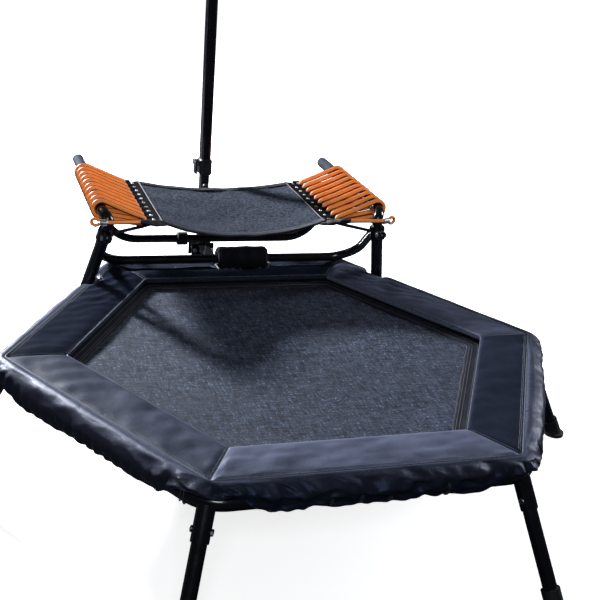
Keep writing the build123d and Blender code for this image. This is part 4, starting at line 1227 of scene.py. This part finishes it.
def step_hems(material, thread_material):
    """Black binding folded over the front and rear edges, with its stitches."""
    mesh, threads = Mesh(), Mesh()
    x = np.linspace(-STRIP_IN - 0.004, STRIP_IN + 0.004, 101)
    for y_edge, y_in in ((MAT_Y0, MAT_Y1), (MAT_Y1, MAT_Y0)):
        inward = np.sign(y_in - y_edge)
        bow = inward * 0.007 * (1 - (x / x[-1]) ** 2)
        outline = np.array(fold_over_edge(inward))
        inner = [(o + inward * 0.0009 * (abs(o) < 0.006), z * 0.72 - 0.0004) for o, z in outline[::-1]]
        loop = np.vstack([outline, inner])
        rings = []
        height = step_height(x, y_edge + inward * 0.006 + 0 * x)
        wave = waves(np.stack([x, 0 * x, 0 * x], 1), 0.05, 7, 81) * 0.0006
        for dy, dz in loop:
            y = y_edge + inward * 0.004 + bow + dy
            rings.append(np.stack([x, y, height + dz + wave], 1))
        mesh.add(np.vstack(rings), grid_faces(len(rings), len(x), wrap_rows=True, flip=inward < 0))
        line = np.stack([x, y_edge + inward * 0.021 + bow, height + 0.0018], 1)
        stitch_row(threads, line, 0.0035, 0.002, 0.0004)
    piece("step_mat_hems", mesh.all_verts(), mesh.faces, material, "step_platform", ())
    piece("step_mat_stitches", threads.all_verts(), threads.faces, thread_material, "step_platform",
          ())


def edge_strips(material, piping_material):
    """Black webbing down both sides of the mat, its tabs round the edge rod, and grey piping."""
    for name, sign in (("left", -1), ("right", 1)):
        mesh = Mesh()
        y = np.linspace(MAT_Y0 - 0.001, MAT_Y1 + 0.001, 91)
        outline = [(STRIP_IN - 0.001, 0.0006), (STRIP_IN + 0.0015, 0.0024), (0.232, 0.0018),
                   (0.240, 0.0014), (0.250, 0.0018), (STRIP_OUT - 0.001, 0.0021),
                   (STRIP_OUT + 0.001, 0.0006),
                   (STRIP_OUT, -0.0014), (0.240, -0.0020), (STRIP_IN, -0.0022)]
        loop = even(np.vstack([through(outline, 30), outline[:1]]), 31)[:-1]
        rings = []
        for x, dz in loop:
            ripple = waves(np.stack([x + 0 * y, y, 0 * y], 1), 0.045, 7, 91) * 0.0004
            rings.append(np.stack([sign * x + 0 * y, y, ROD_Z + dz + ripple], 1))
        n = len(rings)
        faces = grid_faces(n, len(y), wrap_rows=True, flip=sign < 0)
        first_end = [r * len(y) for r in range(n)]
        last_end = [r * len(y) + len(y) - 1 for r in range(n)]
        faces += [first_end, last_end[::-1]]
        mesh.add(np.vstack(rings), faces)
        for i in range(STRANDS + 1):
            mesh.add(*rod_tab(sign, STRAND_Y0 + (i - 0.5) * STRAND_PITCH))
        piece(f"step_edge_strip_{name}", mesh.all_verts(), mesh.faces, material, "step_platform",
              (f"edge_strip_{name}",), 45)
        line = np.stack([np.full(91, sign * (STRIP_IN - 0.0016)), y, ROD_Z + 0.0024 + 0 * y], 1)
        line[:, 2] += waves(line, 0.06, 6, 92) * 0.0004
        verts, faces = tube(line, 0.0010, 8)
        piece(f"step_piping_{name}", verts, faces, piping_material, "step_platform", ())


def rod_tab(sign, y):
    """A webbing tab from the strip round the edge rod and back."""
    turn = np.linspace(pi * 0.55, -pi * 0.55, 11)
    curl = [(ROD_X + 0.0034 * cos(t), ROD_Z + 0.0034 * sin(t)) for t in turn]
    path = [(STRIP_OUT - 0.010, ROD_Z + 0.0030), (STRIP_OUT + 0.003, ROD_Z + 0.0033)] + curl
    path += [(STRIP_OUT + 0.003, ROD_Z - 0.0034), (STRIP_OUT - 0.010, ROD_Z - 0.0030)]
    path = np.array([(sign * x, y, z) for x, z in even(path, 30)])
    return ribbon(path, (0, 1, 0), 0.0175, 0.0014, 2)


def step_strands(material):
    """Ten orange cords on each side, each a loop round the rail and the edge rod."""
    gap = STRAND_R + 0.0002
    flat = taut_loop((RAIL_X, RAIL_Z), RAIL_R + gap, (ROD_X, ROD_Z), ROD_R + gap, 84)
    for name, sign in (("left", -1), ("right", 1)):
        mesh = Mesh()
        for i in range(STRANDS):
            lean = RNG.normal(0, 0.0009)
            share = (flat[:, 0] - ROD_X) / (RAIL_X - ROD_X)
            y = STRAND_Y0 + i * STRAND_PITCH + lean * share
            sag = 0.0006 * np.sin(np.clip(share, 0, 1) * pi)
            path = np.stack([sign * flat[:, 0], y, flat[:, 1] - sag], 1)
            mesh.add(*tube(path, STRAND_R * (1 + RNG.normal(0, 0.008)), 20, closed=True))
        obj = piece(f"step_cords_{name}", mesh.all_verts(), mesh.faces, material)
        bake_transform(obj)
        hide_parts(f"step_bungees_{name}")


# the right front corner of the step; the left one is its mirror image
CORNER = (0.262, 0.399, TOP + 0.166)
CORD_TURN = (0.355, 0.371, TOP + 0.176)
CORD_END = (0.384, 0.376, TOP + 0.175)
COLLAR = (0.3686, 0.4008, TOP + 0.1377)


def mirrored(path, sign):
    return np.asarray(path, float) * (sign, 1, 1)


def corner_cords(material):
    """The orange cord at each front corner, ending in an eye past its crimp."""
    for name, sign in (("left", -1), ("right", 1)):
        mesh = Mesh()
        path = through([CORNER, (0.30, 0.3868, TOP + 0.1715), (0.332, 0.3762, TOP + 0.1748),
                        CORD_TURN, (0.370, 0.3716, TOP + 0.1760), CORD_END], 40)
        mesh.add(*tube(mirrored(path, sign), CORNER_CORD_R, 16))
        turn = np.linspace(0.30, 2 * pi - 0.30, 34)
        eye = [(CORD_END[0] + 0.0135 - 0.0092 * cos(t), CORD_END[1] + 0.0045 - 0.003 * cos(t),
                CORD_END[2] + 0.0088 * sin(t)) for t in turn]
        mesh.add(*tube(mirrored(eye, sign), 0.0044, 12))
        obj = piece(f"corner_cord_{name}", mesh.all_verts(), mesh.faces, material)
        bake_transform(obj)
        if sign < 0:
            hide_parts("corner_cords")


def corner_webbing(material):
    """Black webbing triangle at the mat's corner and the strap down to the leg's collar."""
    for name, sign in (("left", -1), ("right", 1)):
        mesh = Mesh()
        collar_end = (COLLAR[0] - 0.0225, COLLAR[1] - 0.006, COLLAR[2] + 0.003)
        strap = through([(0.250, 0.4165, TOP + 0.158), (0.268, 0.4085, TOP + 0.1545),
                         (0.305, 0.402, TOP + 0.1480), collar_end], 30)
        mesh.add(*ribbon(mirrored(strap, sign), (0, 0.35, 1), 0.009, 0.0022))
        for wide, deep, y_shift in ((0.0125, 0.55, 0.0), (0.0095, 0.8, 0.0035)):
            fold = through([(0.205, 0.4265 + y_shift, TOP + 0.150),
                            (0.228, 0.420 + y_shift, TOP + 0.1545),
                            (0.250, 0.407 + y_shift * 0.6, TOP + 0.161),
                            (0.268, 0.3975, TOP + 0.1675), (0.285, 0.3915, TOP + 0.1705)], 36)
            swell = np.interp(np.linspace(0, 1, 36), [0, 0.2, 0.45, 0.75, 1],
                              [0.003, wide * 0.8, wide, 0.0095, 0.0072])
            swell = swell * (1 + 0.05 * np.sin(np.linspace(0, 19, 36)))
            mesh.add(*tube(mirrored(fold, sign), swell, 18, flat=deep))
        obj = piece(f"corner_webbing_{name}", mesh.all_verts(), mesh.faces, material)
        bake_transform(obj)
        if sign < 0:
            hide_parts("corner_straps")


# ---- padded sleeve and grips --------------------------------------------------------------
def circle(x, centre, radius, turn):
    """Points on a circle, or part of one, round a line along X."""
    return np.stack([np.full(len(turn), x), centre[1] + radius * np.cos(turn),
                     centre[2] + radius * np.sin(turn)], 1)


def clamp_sleeve(material, thread_material):
    """Round padded wrap over the centre clamp, closed by an overlapping flap at the back."""
    low, high = SLEEVE_BOX
    centre = np.array([0, SLEEVE_Y, SLEEVE_Z])
    bore, face_r, skin, chamfer, chamfer_run = 0.0145, 0.021, 0.0012, 0.0052, 0.0032
    x = np.linspace(low.x, high.x, 71)
    turn = np.linspace(0, 2 * pi, 120, endpoint=False)
    rings = []
    for xi in x:
        end = min(xi - low.x, high.x - xi)
        round_off = chamfer * np.exp(-end / chamfer_run)
        flap = 0.0016 * smooth(2.05, 2.00, turn) * smooth(0.6, 1.2, turn)
        ring = circle(xi, centre, 0.02, turn)
        dent = waves(ring, 0.05, 9, 101) * 0.0007 + waves(ring, 0.018, 7, 102) * 0.0002
        radius = SLEEVE_R - skin - round_off + flap + dent * (1 - np.exp(-end / 0.004))
        rings.append(circle(xi, centre, radius, turn))
    outer = len(rings)
    ends = [(high.x - skin, face_r), (high.x - skin, bore), (low.x + skin, bore), (low.x + skin, face_r)]
    rings += [circle(xi, centre, r, turn) for xi, r in ends]
    faces = grid_faces(len(rings), 120, True, True)
    verts = np.vstack(rings)
    squashed = SLEEVE_FLOOR + 0.12 * np.maximum(verts[:, 2] - SLEEVE_FLOOR + 0.02, 0)
    verts[:, 2] = np.maximum(verts[:, 2], squashed)
    obj = piece("clamp_sleeve_wrap", verts, faces, material)
    ring_number = np.repeat(np.arange(len(rings)), 120)
    pin = np.where(ring_number >= outer, 1.0, 0.06)
    settle(obj, pin, np.full(len(verts), 0.04), 10, 0.0018, 0.6)
    finish_soft(obj, ("clamp_sleeve",))
    threads = Mesh()
    for xi in (low.x + 0.007, high.x - 0.007):
        arc = np.linspace(-0.16 * pi, 1.16 * pi, 120)
        reach = SLEEVE_R - skin - chamfer * np.exp(-0.007 / chamfer_run) + 0.0002
        stitch_row(threads, circle(xi, centre, reach, arc), 0.003, 0.0018, 0.0003)
    piece("clamp_sleeve_stitches", threads.all_verts(), threads.faces, thread_material, "frame",
          ())


def foam_grips(material):
    """Foam grips turned from a soft outline, with shallow rings and rounded ends."""
    for name in ("left", "right"):
        low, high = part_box(f"foam_grip_{name}")
        centre = np.array([0, (low.y + high.y) / 2 - CENTRE_Y, (low.z + high.z) / 2])
        outer, bore = (high.z - low.z) / 2, 0.01402
        x = np.linspace(low.x, high.x, 121)
        from_end = np.minimum(x - low.x, high.x - x)
        groove = 0.0004 * (1 + np.cos(x * 2 * pi / 0.009)) * smooth(0.012, 0.02, from_end)
        radius = outer - 0.0045 * np.exp(-from_end / 0.0028) - groove
        loop = [(xi, r) for xi, r in zip(x, radius)] + [(high.x, bore), (low.x, bore)]
        turn = np.linspace(0, 2 * pi, 56, endpoint=False)
        rings = np.vstack([circle(xi, centre, r, turn) for xi, r in loop])
        piece(f"handle_grip_{name}", rings, grid_faces(len(loop), len(turn), True, True), material,
              "handlebar", (f"foam_grip_{name}",), 60)


# ---- materials on the carried-over CAD nodes ----------------------------------------------
def paint_nodes():
    finishes = {
        "gloss_black_paint": gloss_paint(),
        "foot_rubber": foot_rubber(),
        "bright_fasteners": metal("bright_fasteners", (0.56, 0.58, 0.62), 0.20, (1, 1, 14)),
        "chrome_trim": metal("chrome_trim", (0.93, 0.94, 0.97), 0.22, (1, 1, 1)),
        "grey_cap_plastic": plastic("grey_cap_plastic", (0.027, 0.031, 0.045), 0.70, 1100, 0.0, 0.03),
        "black_plastic": plastic("black_plastic", (0.010, 0.011, 0.016), 0.30, 1500, 0.25),
    }
    slots = {s["node"]: s["material_slot"] for s in frame["record"]["subparts"]}
    for name, obj in frame["nodes"].items():
        finish = finishes.get(slots[name])
        if finish is None:
            continue
        obj.data.materials.clear()
        obj.data.materials.append(finish)


# ---- stage, light, camera -----------------------------------------------------------------
def area_light(name, place, target, size, power, colour):
    light = bpy.data.lights.new(name, "AREA")
    light.shape = "RECTANGLE"
    light.size, light.size_y = size
    light.energy = power
    light.color = colour
    obj = bpy.data.objects.new(name, light)
    bpy.context.scene.collection.objects.link(obj)
    obj.location = place
    obj.rotation_euler = (Vector(target) - Vector(place)).to_track_quat("-Z", "Y").to_euler()


def pale_world():
    """White behind the object; a dimmer grey, brighter overhead, is what lights it."""
    world = bpy.data.worlds.new("studio")
    world.use_nodes = True
    nodes, links = world.node_tree.nodes, world.node_tree.links
    ground = nodes["Background"]
    ground.inputs["Color"].default_value = (1, 1, 1, 1)
    seen = nodes.new("ShaderNodeLightPath")
    place = nodes.new("ShaderNodeTexCoord")
    split = nodes.new("ShaderNodeSeparateXYZ")
    sky = nodes.new("ShaderNodeMapRange")
    sky.inputs["From Min"].default_value = -0.25
    sky.inputs["From Max"].default_value = 0.9
    sky.inputs["To Min"].default_value = 0.015
    sky.inputs["To Max"].default_value = 0.05
    level = nodes.new("ShaderNodeMapRange")
    level.inputs["To Max"].default_value = 1.15
    links.new(place.outputs["Generated"], split.inputs[0])
    links.new(split.outputs[2], sky.inputs["Value"])
    links.new(sky.outputs[0], level.inputs["To Min"])
    links.new(seen.outputs["Is Camera Ray"], level.inputs["Value"])
    links.new(level.outputs[0], ground.inputs["Strength"])
    bpy.context.scene.world = world


def studio():
    mesh = bpy.data.meshes.new("floor")
    reach = 14.0
    mesh.from_pydata([(-reach, -reach, 0), (reach, -reach, 0), (reach, reach, 0), (-reach, reach, 0)],
                     [], [(0, 1, 2, 3)])
    floor = bpy.data.objects.new("floor", mesh)
    bpy.context.scene.collection.objects.link(floor)
    n = Nodes("floor_paint")
    cloud = n.noise(n.place(), 1.4, 4)
    seen = n.add("ShaderNodeLightPath").outputs["Is Camera Ray"]
    colour = n.mix(cloud, (0.93, 0.93, 0.94), (0.96, 0.96, 0.965))
    away = n.add("ShaderNodeVectorMath", operation="LENGTH")
    n.feed(away.inputs[0], n.place())
    glow = n.fit(away.outputs["Value"], 1.6, 4.5, 0.80, 1.10)
    n.set(Base_Color=n.mix(seen, (0.035, 0.035, 0.04), colour), Roughness=0.8, Specular_IOR_Level=0.0,
          Emission_Color=(1, 1, 1, 1), Emission_Strength=n.math("MULTIPLY", seen, glow))
    mesh.materials.append(n.material)
    pale_world()
    target = (0, -0.05, 0.35)
    area_light("key_behind_left", (-2.0, 3.6, 1.95), target, (0.42, 0.42), 640, (0.95, 0.97, 1.0))
    area_light("fill_front", (-1.2, -3.6, 2.6), target, (1.1, 0.7), 36, (0.90, 0.95, 1.0))
    area_light("rim_right", (3.2, 0.6, 1.8), target, (0.45, 1.5), 75, (0.92, 0.95, 1.0))


def photo_camera():
    """In front of the pad and to the left, about 1.35 m up, looking down across it to the right."""
    right = Vector((0.94694, -0.30599, 0.09834))
    up = Vector((0.02889, 0.38576, 0.92215))
    ahead = Vector((0.32010, 0.87038, -0.37413))
    data = bpy.data.cameras.new("camera")
    data.lens = 64.774
    camera = bpy.data.objects.new("camera", data)
    bpy.context.scene.collection.objects.link(camera)
    turn = Matrix((right, up, -ahead)).transposed().to_4x4()
    camera.matrix_world = Matrix.Translation((-0.7784, -2.3208, 1.3450)) @ turn
    bpy.context.scene.camera = camera


# ---- build --------------------------------------------------------------------------------
def main():
    satin = satin_cover("satin_cover")
    black_webbing = webbing("border_webbing")
    stitching = thread()
    elastic = braided("black_elastic", (0.006, 0.006, 0.009), (0.03, 0.03, 0.04))
    panels = cover_panels(satin)
    hem = cover_skirt(satin_cover("satin_skirt", rough=0.30, shine=(0.32, 0.16)))
    hem_cord(hem, elastic)
    cover_piping(piping_cloth("pad_piping", (0.020, 0.024, 0.038), (0.12, 0.14, 0.20)))
    cover_stitches(stitching, panels)
    corner_ties(elastic)
    jumping_sheet(woven_mat())
    mat_border_band(black_webbing, stitching)
    mat_elastics(elastic)
    step_sheet(step_felt())
    step_hems(black_webbing, stitching)
    edge_strips(webbing("edge_webbing", (0.002, 0.0025, 0.004), (0.008, 0.009, 0.014), 0.0016, 0.8, 0.02),
                piping_cloth("step_piping", (0.030, 0.036, 0.050), (0.10, 0.115, 0.145)))
    cords = orange_cord()
    step_strands(cords)
    corner_cords(cords)
    corner_webbing(black_webbing)
    clamp_sleeve(sleeve_fabric(), stitching)
    foam_grips(foam_material())
    paint_nodes()
    studio()
    photo_camera()
    bpy.context.scene.view_settings.view_transform = "Standard"


main()
